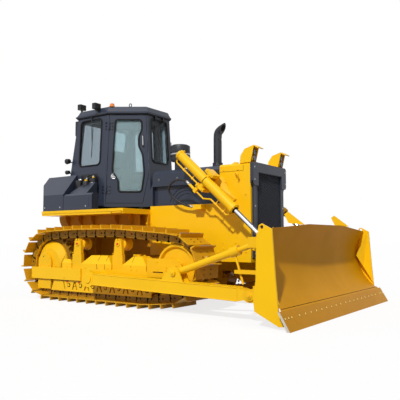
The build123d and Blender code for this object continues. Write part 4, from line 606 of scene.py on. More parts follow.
    def tube(self, points: Sequence[Point], radius: float, sides: int = 10, closed: bool = False,
             zone: int = 0) -> None:
        """Adds a tube along a line of points, as a circle extruded from point to point.

        Args:
            points: the points that the tube follows.
            radius: the tube's radius.
            sides: the number of its sides.
            closed: whether the line ends where it starts.
            zone: the index of the finish.
        """
        line = [Vector(p) for p in points]
        count = len(line)
        headings = []
        for k in range(count):
            before = line[k - 1] if k or closed else line[k]
            after = line[(k + 1) % count] if k < count - 1 or closed else line[k]
            headings.append((after - before).normalized())
        turn = headings[0].to_track_quat("Z", "Y").to_matrix().to_4x4()
        made = bmesh.ops.create_circle(self.mesh, cap_ends=False, segments=sides, radius=radius,
                                       matrix=self.frame @ Matrix.Translation(line[0]) @ turn)
        first = made["verts"]
        ring = once(e for v in first for e in v.link_edges)
        verts = list(first)
        here, heading = line[0], headings[0]
        steps = list(zip(line, headings))[1:] + ([(line[0], headings[0])] if closed else [])
        for there, ahead in steps:
            made = bmesh.ops.extrude_edge_only(self.mesh, edges=ring)["geom"]
            moved = of_kind(made, bmesh.types.BMVert)
            ring = [e for e in of_kind(made, bmesh.types.BMEdge) if all(v in moved for v in e.verts)]
            bmesh.ops.translate(self.mesh, vec=self.frame.to_3x3() @ (there - here), verts=moved)
            bmesh.ops.rotate(self.mesh, cent=self.frame @ there, verts=moved,
                             matrix=self._turned(heading, ahead))
            verts += moved
            here, heading = there, ahead
        if closed:
            bmesh.ops.remove_doubles(self.mesh, verts=first + moved, dist=radius * 0.3)
            verts = [v for v in verts if v.is_valid]
        else:
            foot = once(e for v in first for e in v.link_edges if all(w in first for w in e.verts))
            bmesh.ops.contextual_create(self.mesh, geom=ring)
            bmesh.ops.contextual_create(self.mesh, geom=foot)
        self._turn_out(once(f for v in verts for f in v.link_faces), zone)

    def _turned(self, before: Vector, after: Vector) -> Matrix:
        """Gives the turn from one heading of the frame to the next, in the machine's frame."""
        frame = self.frame.to_3x3()
        return (frame @ before).rotation_difference(frame @ after).to_matrix()

    def mirror(self) -> None:
        """Adds the mirror image of everything so far on the machine's other side."""
        geom = self.mesh.verts[:] + self.mesh.edges[:] + self.mesh.faces[:]
        made = bmesh.ops.duplicate(self.mesh, geom=geom)["geom"]
        bmesh.ops.scale(self.mesh, vec=(1, -1, 1), verts=of_kind(made, bmesh.types.BMVert))
        bmesh.ops.reverse_faces(self.mesh, faces=of_kind(made, bmesh.types.BMFace))

    def take(self, side: Side) -> None:
        """Moves everything so far, which was made for the right, to its side.

        Args:
            side: the side that it is for.
        """
        if side is Side.LEFT:
            bmesh.ops.scale(self.mesh, vec=(1, -1, 1), verts=self.mesh.verts[:])
            bmesh.ops.reverse_faces(self.mesh, faces=self.mesh.faces[:])

    def trim(self, place: Point, out: Point) -> None:
        """Cuts away what lies beyond a plane.

        Args:
            place: a point of the plane.
            out: the direction of what is cut away.
        """
        geom = self.mesh.verts[:] + self.mesh.edges[:] + self.mesh.faces[:]
        made = bmesh.ops.bisect_plane(self.mesh, geom=geom, plane_co=place, plane_no=out, clear_outer=True)
        bmesh.ops.holes_fill(self.mesh, edges=of_kind(made["geom_cut"], bmesh.types.BMEdge))

    def piece(self, name: str, body: str, slot: Slot, *finishes: Finish) -> bpy.types.Object:
        """Finishes the mesh as a piece that rides on a body.

        Args:
            name: the piece's name.
            body: the body that it rides on, or nothing, in which case it rides on none.
            slot: the material slot that it takes its finish from.
            *finishes: the finish of each zone.

        Returns:
            The new object.
        """
        for edge in self.mesh.edges:
            edge.smooth = edge.calc_face_angle(0) < CREASE
        for face in self.mesh.faces:
            face.smooth = True
        data = bpy.data.meshes.new(name)
        self.mesh.to_mesh(data)
        self.mesh.free()
        for finish in finishes:
            data.materials.append(finish.build())
        piece = bpy.data.objects.new(name, data)
        bpy.context.scene.collection.objects.link(piece)
        if body:
            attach(piece, body)
        LOG.info("%s: %d faces", name, len(data.polygons))
        return piece


def rounded(corners: Sequence[Point], radius: float) -> list[Vector]:
    """Rounds a flat outline's corners with the bevel operator.

    Args:
        corners: the outline's corners in order.
        radius: the rounding's size.

    Returns:
        The rounded outline's points in order.
    """
    sketch = bmesh.new()
    face = sketch.faces.new([sketch.verts.new(c) for c in corners])
    bmesh.ops.bevel(sketch, geom=list(face.verts), offset=radius, offset_type="OFFSET", affect="VERTICES",
                    segments=5, profile=0.5, material=-1, clamp_overlap=True)
    sketch.faces.ensure_lookup_table()
    points = [v.co.copy() for v in sketch.faces[0].verts]
    sketch.free()
    return points


def smooth_route(points: Sequence[Point], steps: int = 10) -> list[Vector]:
    """Reads a smooth line through a route from a NURBS spline.

    Args:
        points: the route's control points.
        steps: the points read for each of the spline's segments.

    Returns:
        Points along the smooth line.
    """
    curve = bpy.data.curves.new("route", "CURVE")
    curve.dimensions = "3D"
    spline = curve.splines.new("NURBS")
    spline.points.add(len(points) - 1)
    for control, place in zip(spline.points, points):
        control.co = (*place, 1.0)
    spline.order_u = 3
    spline.use_endpoint_u = True
    spline.resolution_u = steps
    holder = bpy.data.objects.new("route", curve)
    mesh = bpy.data.meshes.new_from_object(holder)
    line = [v.co.copy() for v in mesh.vertices]
    bpy.data.objects.remove(holder)
    bpy.data.curves.remove(curve)
    bpy.data.meshes.remove(mesh)
    return line


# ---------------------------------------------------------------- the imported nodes' finishes
@dataclass
class NodeFinishes:
    """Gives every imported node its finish: by its slot, or by its own name where it differs."""

    by_slot: dict[str, Finish] = field(default_factory=lambda: {
        "yellow_paint": Finishes.YELLOW, "grey_paint": Finishes.SLATE, "track_steel": Finishes.TRACK,
        "dark_steel": Finishes.SOOT, "chrome": Finishes.CHROME, "glass": Finishes.GLASS,
        "fabric": Finishes.SEAT, "rubber": Finishes.HOSE, "amber_lens": Finishes.BEACON,
    })
    by_node: dict[str, Finish] = field(default_factory=lambda: {
        "moldboard": Finishes.SHADED_BLADE_YELLOW, "end_plates": Finishes.PLATE, "cutting_edge": Finishes.SHADED_EDGE_YELLOW,
        "final_drives": Finishes.CAST, "outer_bearings": Finishes.CAST, "idler_yokes": Finishes.CAST,
        "lift_yokes": Finishes.CAST, "idlers": Finishes.CAST, "carrier_rollers": Finishes.CAST,
        # The frame, case, bar and deck supports take the darker copy of the yellow, as painted shade
        "main_frame": Finishes.AMBER, "rear_case": Finishes.AMBER, "equalizer_bar": Finishes.AMBER,
        "deck_supports": Finishes.AMBER, "blade_back": Finishes.CAST, "console": Finishes.VINYL,
        "brace_screw": Finishes.YELLOW, "work_lamps": Finishes.BLACK, "sprockets": Finishes.TOOTH,
        "cab_glass": Finishes.PANE,
    })

    def build(self, frame: dict) -> None:
        """Dresses the nodes.
        """
        slots = {part["node"]: part["material_slot"] for part in frame["record"]["subparts"]}
        for name, node in frame["nodes"].items():
            finish = self.by_node.get(name) or self.by_slot.get(slots.get(name, ""), Finishes.YELLOW)
            material = finish.build()
            if not node.material_slots:
                node.data.materials.append(material)
            for place in node.material_slots:
                place.material = material
        LOG.info("dressed %d nodes", len(frame["nodes"]))


# ---------------------------------------------------------------- tracks
@dataclass(frozen=True)
class Straight:
    """A straight run of the chain between two wheels, with its length in pitches."""

    pitches: float
    start: Vector
    end: Vector

    def at(self, share: float) -> Vector:
        """Gives the point at a share of the run."""
        return self.start.lerp(self.end, share)


@dataclass(frozen=True)
class Arc:
    """A run of the chain round a wheel, given as X, Z and radius, with its length in pitches."""

    pitches: float
    wheel: tuple[float, float, float]
    first: float
    sweep: float

    def at(self, share: float) -> Vector:
        """Gives the point at a share of the run.

        Args:
            share: how far along the run it lies.

        Returns:
            The point in X and Z.
        """
        x, z, radius = self.wheel
        angle = self.first - self.sweep * share
        return Vector((x + radius * math.cos(angle), z + radius * math.sin(angle)))


@dataclass
class Chain:
    """The track's closed line of pins, round its wheels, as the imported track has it."""

    pitch: float = 0.2032
    sprocket: tuple[float, float] = (-1.985, 0.568)
    teeth: int = 27
    idler: tuple[float, float] = (0.578, 0.565)
    tread: float = 0.318
    carriers: tuple[float, ...] = (-1.317, -0.457)
    carrier_z: float = 0.88
    carrier: float = 0.097
    roller: float = 0.098
    rollers: tuple[float, float] = (-1.478, 0.122)
    rail: float = 0.057
    gap: float = 0.006
    shoe: float = 0.012
    grouser: float = 0.056
    closing_steps: int = 8

    def pins(self) -> list[Vector]:
        """Works out the pins' places in X and Z.

        Returns:
            The pins in order, clockwise as seen from the machine's right.
        """
        idler_x = self.idler[0]
        count = round(self._pitches(idler_x))
        for _ in range(self.closing_steps):
            idler_x += (count - self._pitches(idler_x)) * self.pitch / 2
        self.idler = (idler_x, self.idler[1])
        runs = self._runs(idler_x)
        return [self._point(runs, k) for k in range(count)]

    def _pitches(self, idler_x: float) -> float:
        """Gives the chain's length in pitches for a place of the idler."""
        return sum(run.pitches for run in self._runs(idler_x))

    def _wheels(self, idler_x: float) -> list[tuple[float, float, float]]:
        """Gives the circles that the pins follow.

        Args:
            idler_x: the idler's place along the machine.

        Returns:
            Each circle's X, Z and radius, in the chain's order.
        """
        over = self.gap + self.rail
        roller_z = self.rail * 2 + self.shoe + self.grouser + self.gap + self.roller
        return [(*self.sprocket, self.pitch / 2 / math.sin(2 * math.pi / self.teeth)),
                *[(x, self.carrier_z, self.carrier + over) for x in self.carriers],
                (idler_x, self.idler[1], math.hypot(self.tread + over, self.pitch / 2)),
                *[(x, roller_z, self.roller + over) for x in reversed(self.rollers)]]

    def _runs(self, idler_x: float) -> list[Arc | Straight]:
        """Gives the arcs round the wheels and the straights between them.

        Args:
            idler_x: the idler's place along the machine.

        Returns:
            The runs in the chain's order.
        """
        rounds = self._wheels(idler_x)
        pairs = list(zip(rounds, rounds[1:] + rounds[:1]))
        normals = [math.atan2(z2 - z, x2 - x) + math.acos((r - r2) / math.hypot(x2 - x, z2 - z))
                   for (x, z, r), (x2, z2, r2) in pairs]
        runs: list[Arc | Straight] = []
        for k, ((x, z, r), (x2, z2, r2)) in enumerate(pairs):
            sweep = (normals[k - 1] - normals[k]) % (2 * math.pi)
            runs.append(Arc(sweep / (2 * math.asin(self.pitch / 2 / r)), (x, z, r), normals[k - 1], sweep))
            way = Vector((math.cos(normals[k]), math.sin(normals[k])))
            start, end = Vector((x, z)) + r * way, Vector((x2, z2)) + r2 * way
            runs.append(Straight((end - start).length / self.pitch, start, end))
        return runs

    @staticmethod
    def _point(runs: list[Arc | Straight], pitches: float) -> Vector:
        """Gives a point of the line.

        Args:
            runs: the line's arcs and straights.
            pitches: how far along it the point lies.

        Returns:
            The point in X and Z.
        """
        for run in runs:
            if pitches <= run.pitches:
                break
            pitches -= run.pitches
        return run.at(pitches / run.pitches)

    def links(self) -> Iterator[Matrix]:
        """Gives the links' frames.

        Returns:
            Each link's frame in turn: X along the chain, Y to the left, Z outwards.
        """
        pins = self.pins()
        for here, there in zip(pins, pins[1:] + pins[:1]):
            along = (there - here).normalized()
            middle = (here + there) / 2
            ahead, out = Vector((along.x, 0, along.y)), Vector((-along.y, 0, along.x))
            turn = Matrix((ahead, out.cross(ahead), out)).transposed().to_4x4()
            yield Matrix.Translation((middle.x, 0, middle.y)) @ turn


@dataclass
class Tracks:
    """The tracks' small work: link plates with their bolts, shoe bolts and bared grousers."""

    chain: Chain = field(default_factory=Chain)
    track_y: float = 0.94
    width: float = 0.51
    rail_y: float = 0.075
    rail_half: float = 0.0225
    link_height: float = 0.046
    link_thick: float = 0.007
    link_crank: float = 0.004
    shoe_top: float = 0.069
    bolt: float = 0.02

    def build(self) -> None:
        """Builds the pieces of both tracks."""
        frames = list(self.chain.links())
        for side in Side:
            self._link_plates(frames, side)
            self._shoe_bolts(frames, side)
            self._bare_tips(frames, side)

    def _link_plates(self, frames: list[Matrix], side: Side) -> None:
        """Lays a plate with two bolt pockets on each link's outer face; the pockets and the gap to the next
        link are near-black discs and a block of painted shade.

        Args:
            frames: the links' frames.
            side: the side that it is for.
        """
        blank = Blank()
        face = -self.track_y - self.rail_y - self.rail_half
        pocket_out, gap_out = -self.link_thick - 0.0045, -self.link_thick - 0.0055
        gap_x = -self.chain.pitch / 2 - 0.04
        for frame in frames:
            blank.frame = frame @ Matrix.Translation((0, face, 0))
            self._link_plate(blank)
            # The pockets, and the block and disc in the gap to the next link, are painted shade
            for x in (-0.012, 0.05):
                blank.bar((x, -0.004, 0.004), (x, pocket_out, 0.004), 0.012, sides=8, zone=1)
            blank.block((gap_x - 0.006, gap_out, -0.04), (gap_x + 0.006, 0.0, 0.05), zone=1)
            blank.bar((gap_x, 0.0, -0.05), (gap_x, gap_out, -0.05), 0.017, sides=10, zone=1)
        blank.take(side)
        blank.piece(f"link_plates_{side.value}", "chassis", Slot.TRACK, Finishes.LINK, Finishes.BLACK_AND_PAINTED_SHADE)

    def _link_plate(self, blank: Blank) -> None:
        """Shapes one round-ended plate: a disc stretched along the link, with its front end cranked out.

        Args:
            blank: the track's blank, in the plate's frame.
        """
        mesh, frame = blank.mesh, blank.frame
        along = frame.to_3x3() @ Vector(FORWARD)
        made = bmesh.ops.create_circle(mesh, cap_ends=True, segments=12, radius=self.link_height,
                                       matrix=frame @ Matrix.Rotation(math.pi / 2, 4, "X"))["verts"]
        ahead = [v for v in made if (v.co - frame.translation).dot(along) > 0]
        behind = [v for v in made if v not in ahead]
        bmesh.ops.translate(mesh, vec=along * (self.chain.pitch / 2 + 0.012), verts=ahead)
        bmesh.ops.translate(mesh, vec=along * -0.03, verts=behind)
        caps = once(f for v in made for f in v.link_faces)
        grown = bmesh.ops.extrude_face_region(mesh, geom=caps, use_keep_orig=True)["geom"]
        out = of_kind(grown, bmesh.types.BMVert)
        bmesh.ops.translate(mesh, vec=(0, -self.link_thick, 0), verts=out)
        cranked = [v for v in out if (v.co - frame.translation).dot(along) > 0]
        bmesh.ops.translate(mesh, vec=(0, -self.link_crank, 0), verts=cranked)
        bmesh.ops.recalc_face_normals(mesh, faces=once(f for v in out for f in v.link_faces) + caps)

    def _shoe_bolts(self, frames: list[Matrix], side: Side) -> None:
        """Sets four bolt heads on each shoe.

        Args:
            frames: the links' frames.
            side: the side that it is for.
        """
        blank = Blank()
        for frame in frames:
            blank.frame = frame
            for y in (-self.rail_y, self.rail_y):
                for x in (-0.022, 0.042):
                    blank.bolt((x, -self.track_y + y, self.shoe_top), (0, 0, 1), self.bolt, washer=False)
        blank.take(side)
        blank.piece(f"shoe_bolts_{side.value}", "chassis", Slot.TRACK, Finishes.LINK)

    def _bare_tips(self, frames: list[Matrix], side: Side) -> None:
        """Lays the bared steel of the grousers' tips, except under the machine.

        Args:
            frames: the links' frames.
            side: the side that it is for.
        """
        blank = Blank()
        half = (self.chain.pitch - 0.007) / 2
        top = self.shoe_top + self.chain.grouser
        for k, frame in enumerate(frames):
            if (frame.to_3x3() @ Vector((0, 0, 1))).z < -0.6:
                continue
            blank.frame = frame
            worn = self.width / 2 - 0.012 - 0.05 * (k * 7 % 5)
            shift = 0.02 * (k * 3 % 4 - 1.5)
            blank.block((-half + 0.001, -self.track_y - worn + shift, top - 0.004),
                        (-half + 0.015, -self.track_y + worn + shift, top + 0.0006))
        blank.take(side)
        blank.piece(f"bared_tips_{side.value}", "chassis", Slot.TRACK, Finishes.WORN)


# ---------------------------------------------------------------- track frames
@dataclass
class TrackFrames:
    """Small parts of the track frames: plugs, caps, seams and bolts."""

    face_y: float = -1.1
    post_y: float = -1.08
    posts: tuple[float, ...] = (-1.317, -0.457)
    shaft_z: float = 0.885
    clamp_z: float = 0.945
    foot_z: float = 0.742
    rollers: tuple[float, float] = (-1.478, 0.122)
    roller_count: int = 7
    roller_z: float = 0.245
    plug_z: float = 0.293
    guard_bolt_z: float = 0.24
    seams: tuple[float, ...] = (-1.66, -0.87, -0.7, -0.18)
    cover_bolts: tuple[float, ...] = (-1.8, -1.52, -1.11, -0.852, -0.64, -0.176, -0.074)
    cover_bolt_z: float = 0.526
    cover_bend_z: float = 0.58
    cover_top: tuple[float, float] = (-1.0205, 0.7085)
    bearing: tuple[float, float] = (-2.065, 0.585)
    bearing_bolts: float = 0.118
    axle: tuple[float, float] = (0.547, 0.551)
    yoke_bolts: tuple[tuple[float, float], ...] = (
        (0.464, 0.573), (0.464, 0.531), (0.3, 0.64), (0.64, 0.6), (0.64, 0.5))

    def build(self) -> None:
        """Builds the pieces of both sides."""
        self._posts()
        self._roller_caps()
        self._covers()
        self._castings()

    def _posts(self) -> None:
        """Builds the roller posts' split clamps with their bolts and red plugs."""
        blank = Blank()
        y, z = self.post_y, self.shaft_z
        for x in self.posts:
            blank.bar((x, y + 0.002, z), (x, y - 0.01, z), 0.042, sides=24, edge=0.003)
            blank.bar((x, y - 0.008, z), (x, y - 0.018, z), 0.017, sides=12, edge=0.003, zone=1)
            for way in (-1, 1):
                ear = x + way * 0.03
                blank.bar((ear, y + 0.01, self.clamp_z), (ear, y - 0.006, self.clamp_z), 0.016, sides=12,
                          edge=0.003)
                blank.bolt((x + way * 0.09, y - 0.008, self.foot_z), UP, 0.02)
            # The clamp's split is a near-black strip of painted shade
            blank.block((x - 0.004, y - 0.0015, 0.905), (x + 0.004, y + 0.001, 0.953), zone=2)
        blank.mirror()
        blank.piece("roller_post_clamps", "chassis", Slot.YELLOW, Finishes.CAST, Finishes.PLUG, Finishes.BLACK_AND_PAINTED_SHADE)

    def _roller_caps(self) -> None:
        """Builds the bottom rollers' shaft caps, their holes in the guard and the red plugs."""
        blank = Blank()
        step = (self.rollers[1] - self.rollers[0]) / (self.roller_count - 1)
        for k in range(self.roller_count):
            x, y, z = self.rollers[0] + k * step, self.face_y, self.roller_z
            # The hole round the cap is a near-black disc of painted shade
            blank.bar((x, y + 0.001, z), (x, y - 0.003, z), 0.034, sides=20, zone=2)
            blank.bar((x, y - 0.002, z), (x, y - 0.008, z), 0.024, sides=16, edge=0.002)
            blank.bar((x - 0.038, y + 0.001, self.plug_z), (x - 0.038, y - 0.008, self.plug_z), 0.014,
                      sides=12, edge=0.002, zone=1)
            blank.bolt((x + step / 2, y, self.guard_bolt_z), RIGHT, 0.022)
        blank.mirror()
        blank.piece("roller_caps", "chassis", Slot.YELLOW, Finishes.CAST, Finishes.PLUG, Finishes.BLACK_AND_PAINTED_SHADE)

    def _covers(self) -> None:
        """Builds the covers' seams, straps, bolts and filler caps."""
        blank = Blank()
        y, bend = self.face_y, self.cover_bend_z
        for x in self.seams:
            low, high = x - 0.003, x + 0.003
            blank.block((low, y - 0.0015, 0.507), (high, y + 0.002, bend), zone=1)
            blank.plate([(low, y - 0.0015, bend), (high, y - 0.0015, bend), (high, *self.cover_top),
                         (low, *self.cover_top)], (0, 0.003, 0.002), zone=1)
        for x in self.cover_bolts:
            blank.bolt((x, y, self.cover_bolt_z), RIGHT, 0.018)
        for x in (-1.12, -0.66):
            blank.bolt((x, -1.062, 0.64), (0, -0.84, 0.54), 0.016)
        blank.block((-0.36, -0.86, 0.706), (-0.23, -0.79, 0.728), edge=0.004)
        blank.bar((-0.17, -0.82, 0.706), (-0.17, -0.82, 0.722), 0.024, sides=16, edge=0.003)
        blank.block((-2.358, y - 0.0265, 0.316), (-1.193, y - 0.0235, 0.321), zone=1)
        blank.bar((-1.56, y - 0.0245, 0.352), (-1.56, y - 0.0262, 0.352), 0.007, sides=10, zone=1)
        blank.mirror()
        blank.piece("cover_seams", "chassis", Slot.YELLOW, Finishes.YELLOW, Finishes.BLACK_AND_PAINTED_SHADE)

    def _castings(self) -> None:
        """Builds the caps and bolts of the bearings, the idlers' yokes and the trunnions."""
        blank = Blank()
        y = self.face_y
        # The small dot and the axle's end are near-black discs of painted shade for holes
        blank.bar((-2.098, y + 0.001, 0.673), (-2.098, y - 0.001, 0.673), 0.01, sides=12, zone=1)
        for angle in range(0, 360, 60):
            x = self.bearing[0] + self.bearing_bolts * math.cos(math.radians(angle + 30))
            z = self.bearing[1] + self.bearing_bolts * math.sin(math.radians(angle + 30))
            blank.bolt((x, y, z), RIGHT, 0.016, washer=False)
        x, z = self.axle
        blank.bar((x, y + 0.001, z), (x, y - 0.0015, z), 0.019, sides=16, zone=1)
        blank.ring((x, y, z), (0, 1, 0), 0.026, 0.005)
        for x, z in self.yoke_bolts:
            blank.bolt((x, y, z), RIGHT, 0.018)
        blank.block((0.231, y - 0.0015, 0.497), (0.406, y + 0.002, 0.511), zone=1)
        blank.mirror()
        blank.piece("frame_castings", "chassis", Slot.YELLOW, Finishes.CAST, Finishes.BLACK_AND_PAINTED_SHADE)


# ---------------------------------------------------------------- hull, hood and deck
@dataclass
class Hull:
    """Small parts of the side panels, the hood, the radiator guard and the deck."""

    panel_y: float = -0.48
    panel_bolts: tuple[tuple[float, float], ...] = (
        (0.816, 0.877), (0.976, 0.899), (1.176, 0.9), (0.976, 0.82), (0.887, 0.766), (-0.344, 1.351),
        (-0.343, 1.192), (0.844, 1.29), (1.215, 1.905), (0.988, 1.908), (1.34, 0.78), (1.34, 1.18),
        (1.34, 1.56))
    latches: tuple[tuple[float, float], ...] = ((-0.193, 1.849), (0.162, 1.855), (0.52, 1.859))
    fold_z: float = 1.888
    guard_x: float = 0.916
    hook: tuple[tuple[float, float, float], ...] = (
        (1.2, 0.004, 1.842), (1.2, -0.04, 1.85), (1.24, -0.062, 1.846), (1.256, -0.05, 1.8),
        (1.24, -0.036, 1.77))
    sunken_y: float = -0.4215
    arc_middle: tuple[float, float] = (0.3, 1.47)
    arcs: tuple[float, ...] = (0.2, 0.26, 0.32)
    deck_y: float = -1.085
    rail_z: float = 1.366
    treads: int = 9
    intake: tuple[float, float] = (0.083, -0.3)
    intake_radius: float = 0.15
    stack_x: float = 0.569
    stack_radius: float = 0.063
    stack_bend: tuple[tuple[float, float, float], ...] = (
        (0, 0, 2.44), (0, 0, 2.505), (0.01, 0, 2.572), (0.07, 0, 2.617), (0.18, 0, 2.657))
    tank_y: float = -1.06
    tank_x: float = -2.384
    filler: tuple[float, float] = (-2.15, 0.45)

    def build(self) -> None:
        """Builds the hull's pieces."""
        self._panels()
        self._guard()
        self._hood()
        self._precleaner()
        self._exhaust()
        self._deck()
        self._tank()

    def _panels(self) -> None:
        """Builds the bolts of the side panels and of the front leg."""
        blank = Blank()
        for x, z in self.panel_bolts:
            blank.bolt((x, self.panel_y, z), RIGHT, 0.018)
        for z in (1.06, 1.19):
            blank.bolt((-0.386, -0.532, z), RIGHT, 0.02)
        # A plate in the darker copy of the yellow: painted shade that closes the gap under the deck by the
        # front leg
        blank.block((-0.64, -0.476, 0.96), (-0.356, -0.468, 1.329), zone=2)
        blank.mirror()
        blank.piece("side_panel_bolts", "chassis", Slot.YELLOW, Finishes.CAST, Finishes.BLACK_AND_PAINTED_SHADE, Finishes.AMBER)

    def _guard(self) -> None:
        """Builds the guard's folded edge, its lashing hooks and its seams."""
        blank = Blank()
        y, z = self.panel_y, self.fold_z
        skin, back = y - 0.0012, y + 0.002
        # The fold and the guard's edges are near-black strips, painted shade along the crease and the joints
        blank.block((self.guard_x + 0.015, skin, z - 0.002), (1.305, back, z + 0.002), zone=1)
        blank.block((1.303, skin, z), (1.307, back, 1.965), zone=1)
        hook = [(hook_x, y + out, hook_z) for hook_x, out, hook_z in self.hook]
        blank.tube(smooth_route(hook), 0.011, sides=10)
        foot_x, _, foot_z = self.hook[0]
        blank.bar((foot_x, y + 0.001, foot_z), (foot_x, y - 0.006, foot_z), 0.026, sides=16, edge=0.002)
        blank.block((self.guard_x - 0.001, skin, 1.455), (self.guard_x + 0.003, back, 1.96), zone=1)
        blank.mirror()
        for x in (0.99, 1.18, 1.35):
            for way in (-1, 1):
                blank.bolt((x, way * 0.3, 1.994), UP, 0.02)
        blank.piece("guard_fittings", "chassis", Slot.YELLOW, Finishes.CAST, Finishes.BLACK_AND_PAINTED_SHADE)

    def _hood(self) -> None:
        """Builds the hood's latches, the arcs pressed into its sunken doors and its top seams."""
        blank = Blank()
        y, sunken = self.panel_y, self.sunken_y
        for x, z in self.latches:
            blank.bar((x, y + 0.001, z), (x, y - 0.004, z), 0.019, sides=20, edge=0.0015, zone=1)
            blank.block((x - 0.013, y - 0.008, z - 0.003), (x + 0.013, y - 0.003, z + 0.003), edge=0.001,
                        zone=2)
        x, z = self.arc_middle
        for radius in self.arcs:
            turns = [math.radians(angle) for angle in range(40, 171, 10)]
            arc = [(x + radius * math.cos(t), sunken, z + radius * 0.8 * math.sin(t)) for t in turns]
            blank.tube(arc, 0.007, sides=8)
        door = rounded([(-0.27, sunken, 1.475), (0.87, sunken, 1.475), (0.87, sunken, 1.725),
                        (-0.27, sunken, 1.725)], 0.03)
        blank.tube(door, 0.004, sides=6, closed=True)
        blank.mirror()
        for x in (-0.3, 0.2, 0.62):
            blank.block((x - 0.002, -0.415, 1.9935), (x + 0.002, 0.415, 1.9955), zone=2)
        blank.piece("hood_fittings", "chassis", Slot.DARK, Finishes.SLATE, Finishes.DULL, Finishes.BLACK_AND_PAINTED_SHADE)

    def _precleaner(self) -> None:
        """Builds the air intake's drum: a ribbed bowl with a plated band under a flat cap."""
        blank = Blank()
        x, y, radius = *self.intake, self.intake_radius
        blank.bar((x, y, 1.99), (x, y, 2.15), 0.085, sides=36, edge=0.004)
        blank.bar((x, y, 2.13), (x, y, 2.19), radius * 0.9, radius, sides=48, edge=0.004)
        blank.bar((x, y, 2.185), (x, y, 2.372), radius, sides=48, edge=0.012)
        blank.bar((x, y, 2.35), (x, y, 2.384), radius * 0.86, radius * 0.8, sides=48, edge=0.004)
        blank.bar((x, y, 2.226), (x, y, 2.246), radius + 0.004, sides=48, edge=0.002, zone=1)
        for z in (2.196, 2.214, 2.262):
            blank.ring((x, y, z), UP, radius + 0.001, 0.004, sides=48)
        blank.block((x + radius - 0.004, y - 0.012, 2.222), (x + radius + 0.012, y + 0.012, 2.25),
                    edge=0.002, zone=1)
        drum = blank.piece("intake_precleaner", "chassis", Slot.DARK, Finishes.SOOT, Finishes.STEEL)
        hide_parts("precleaner")

    def _exhaust(self) -> None:
        """Builds the exhaust stack: a curved pipe with a slanting cut, on its flange and clamp."""
        blank = Blank()
        x = self.stack_x
        bend = [(x + ahead, y, z) for ahead, y, z in self.stack_bend]
        blank.tube(smooth_route(bend, 14), self.stack_radius, sides=28)
        blank.trim((x + 0.1, 0, 2.627), (0.93, 0, -0.36))
        # The mouth is closed with a near-black disc of painted shade for the pipe's inside
        blank.bar((x + 0.094, 0, 2.6294), (x + 0.1015, 0, 2.6265), self.stack_radius * 0.82, sides=28, zone=1)
        blank.bar((x, 0, 1.996), (x, 0, 2.45), self.stack_radius, sides=28)
        blank.bar((x, 0, 1.992), (x, 0, 2.012), 0.096, sides=36, edge=0.003)
        blank.bar((x, 0, 2.008), (x, 0, 2.09), 0.078, sides=36, edge=0.004)
        blank.ring((x, 0, 2.098), UP, 0.072, 0.007, sides=32)
        for k in range(6):
            angle = math.radians(60 * k + 30)
            blank.bolt((x + 0.087 * math.cos(angle), 0.087 * math.sin(angle), 2.011), UP, 0.012, washer=False)
        stack = blank.piece("exhaust_stack", "chassis", Slot.DARK, Finishes.SOOT, Finishes.BLACK_AND_PAINTED_SHADE)
        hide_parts("exhaust")

    def _deck(self) -> None:
        """Builds the grab rails under the deck's lip and the tread strips on it."""
        blank = Blank()
        y, z = self.deck_y, self.rail_z
        rail = smooth_route([(-0.6, y + 0.012, z), (-0.6, y - 0.03, z), (-0.56, y - 0.034, z),
                             (-0.42, y - 0.034, z), (-0.38, y - 0.03, z), (-0.38, y + 0.012, z)])
        blank.tube(rail, 0.009, sides=10)
        for x in (-0.6, -0.38):
            blank.bar((x, y + 0.01, z), (x, y - 0.004, z), 0.02, sides=12, edge=0.002)
        blank.mirror()
        blank.piece("deck_grab_rails", "chassis", Slot.YELLOW, Finishes.YELLOW)
        tread = Blank()
        for k in range(self.treads):
            x = -0.98 + 0.065 * k
            tread.block((x, -1.06, 1.404), (x + 0.03, -0.76 + 0.3 * (k > 6), 1.408), edge=0.001)
        tread.mirror()
        tread.piece("deck_tread_strips", "chassis", Slot.RUBBER, Finishes.GASKET)

    def _tank(self) -> None:
        """Builds the tank's seams, bolts, filler caps and handles, and the boxes' latches."""
        blank = Blank()
        y = self.tank_y
        for x in (-2.14, -1.766, -1.17):
            blank.bar((x, y + 0.001, 1.462), (x, y - 0.004, 1.462), 0.012, sides=12, edge=0.001, zone=1)
        blank.block((-1.6925, y - 0.001, 1.41), (-1.6885, y + 0.003, 1.66), zone=2)
        blank.block((-1.1, y - 0.001, 1.452), (-1.098, y + 0.003, 1.6), zone=2)
        blank.mirror()
        x, y = self.filler
        blank.bar((x, y, 1.999), (x, y, 2.028), 0.062, sides=32, edge=0.004)
        blank.ring((x, y, 2.028), UP, 0.052, 0.006, sides=32)
        blank.block((x - 0.05, y - 0.004, 2.026), (x + 0.05, y + 0.004, 2.04), edge=0.003)
        blank.bar((x, -y, 1.999), (x, -y, 2.024), 0.045, sides=32, edge=0.004)
        for way in (-1, 1):
            y = way * 0.6
            handle = [(self.tank_x, y, 1.56), (-2.42, y, 1.56), (-2.424, y, 1.6), (-2.424, y, 1.8),
                      (-2.42, y, 1.84), (self.tank_x, y, 1.84)]
            blank.tube(smooth_route(handle), 0.012, sides=10)
            seam = way * 0.3
            blank.block((self.tank_x - 0.0025, seam - 0.002, 1.43), (self.tank_x, seam + 0.002, 1.98), zone=2)
        blank.piece("tank_fittings", "chassis", Slot.GREY, Finishes.SLATE, Finishes.STEEL, Finishes.BLACK_AND_PAINTED_SHADE)


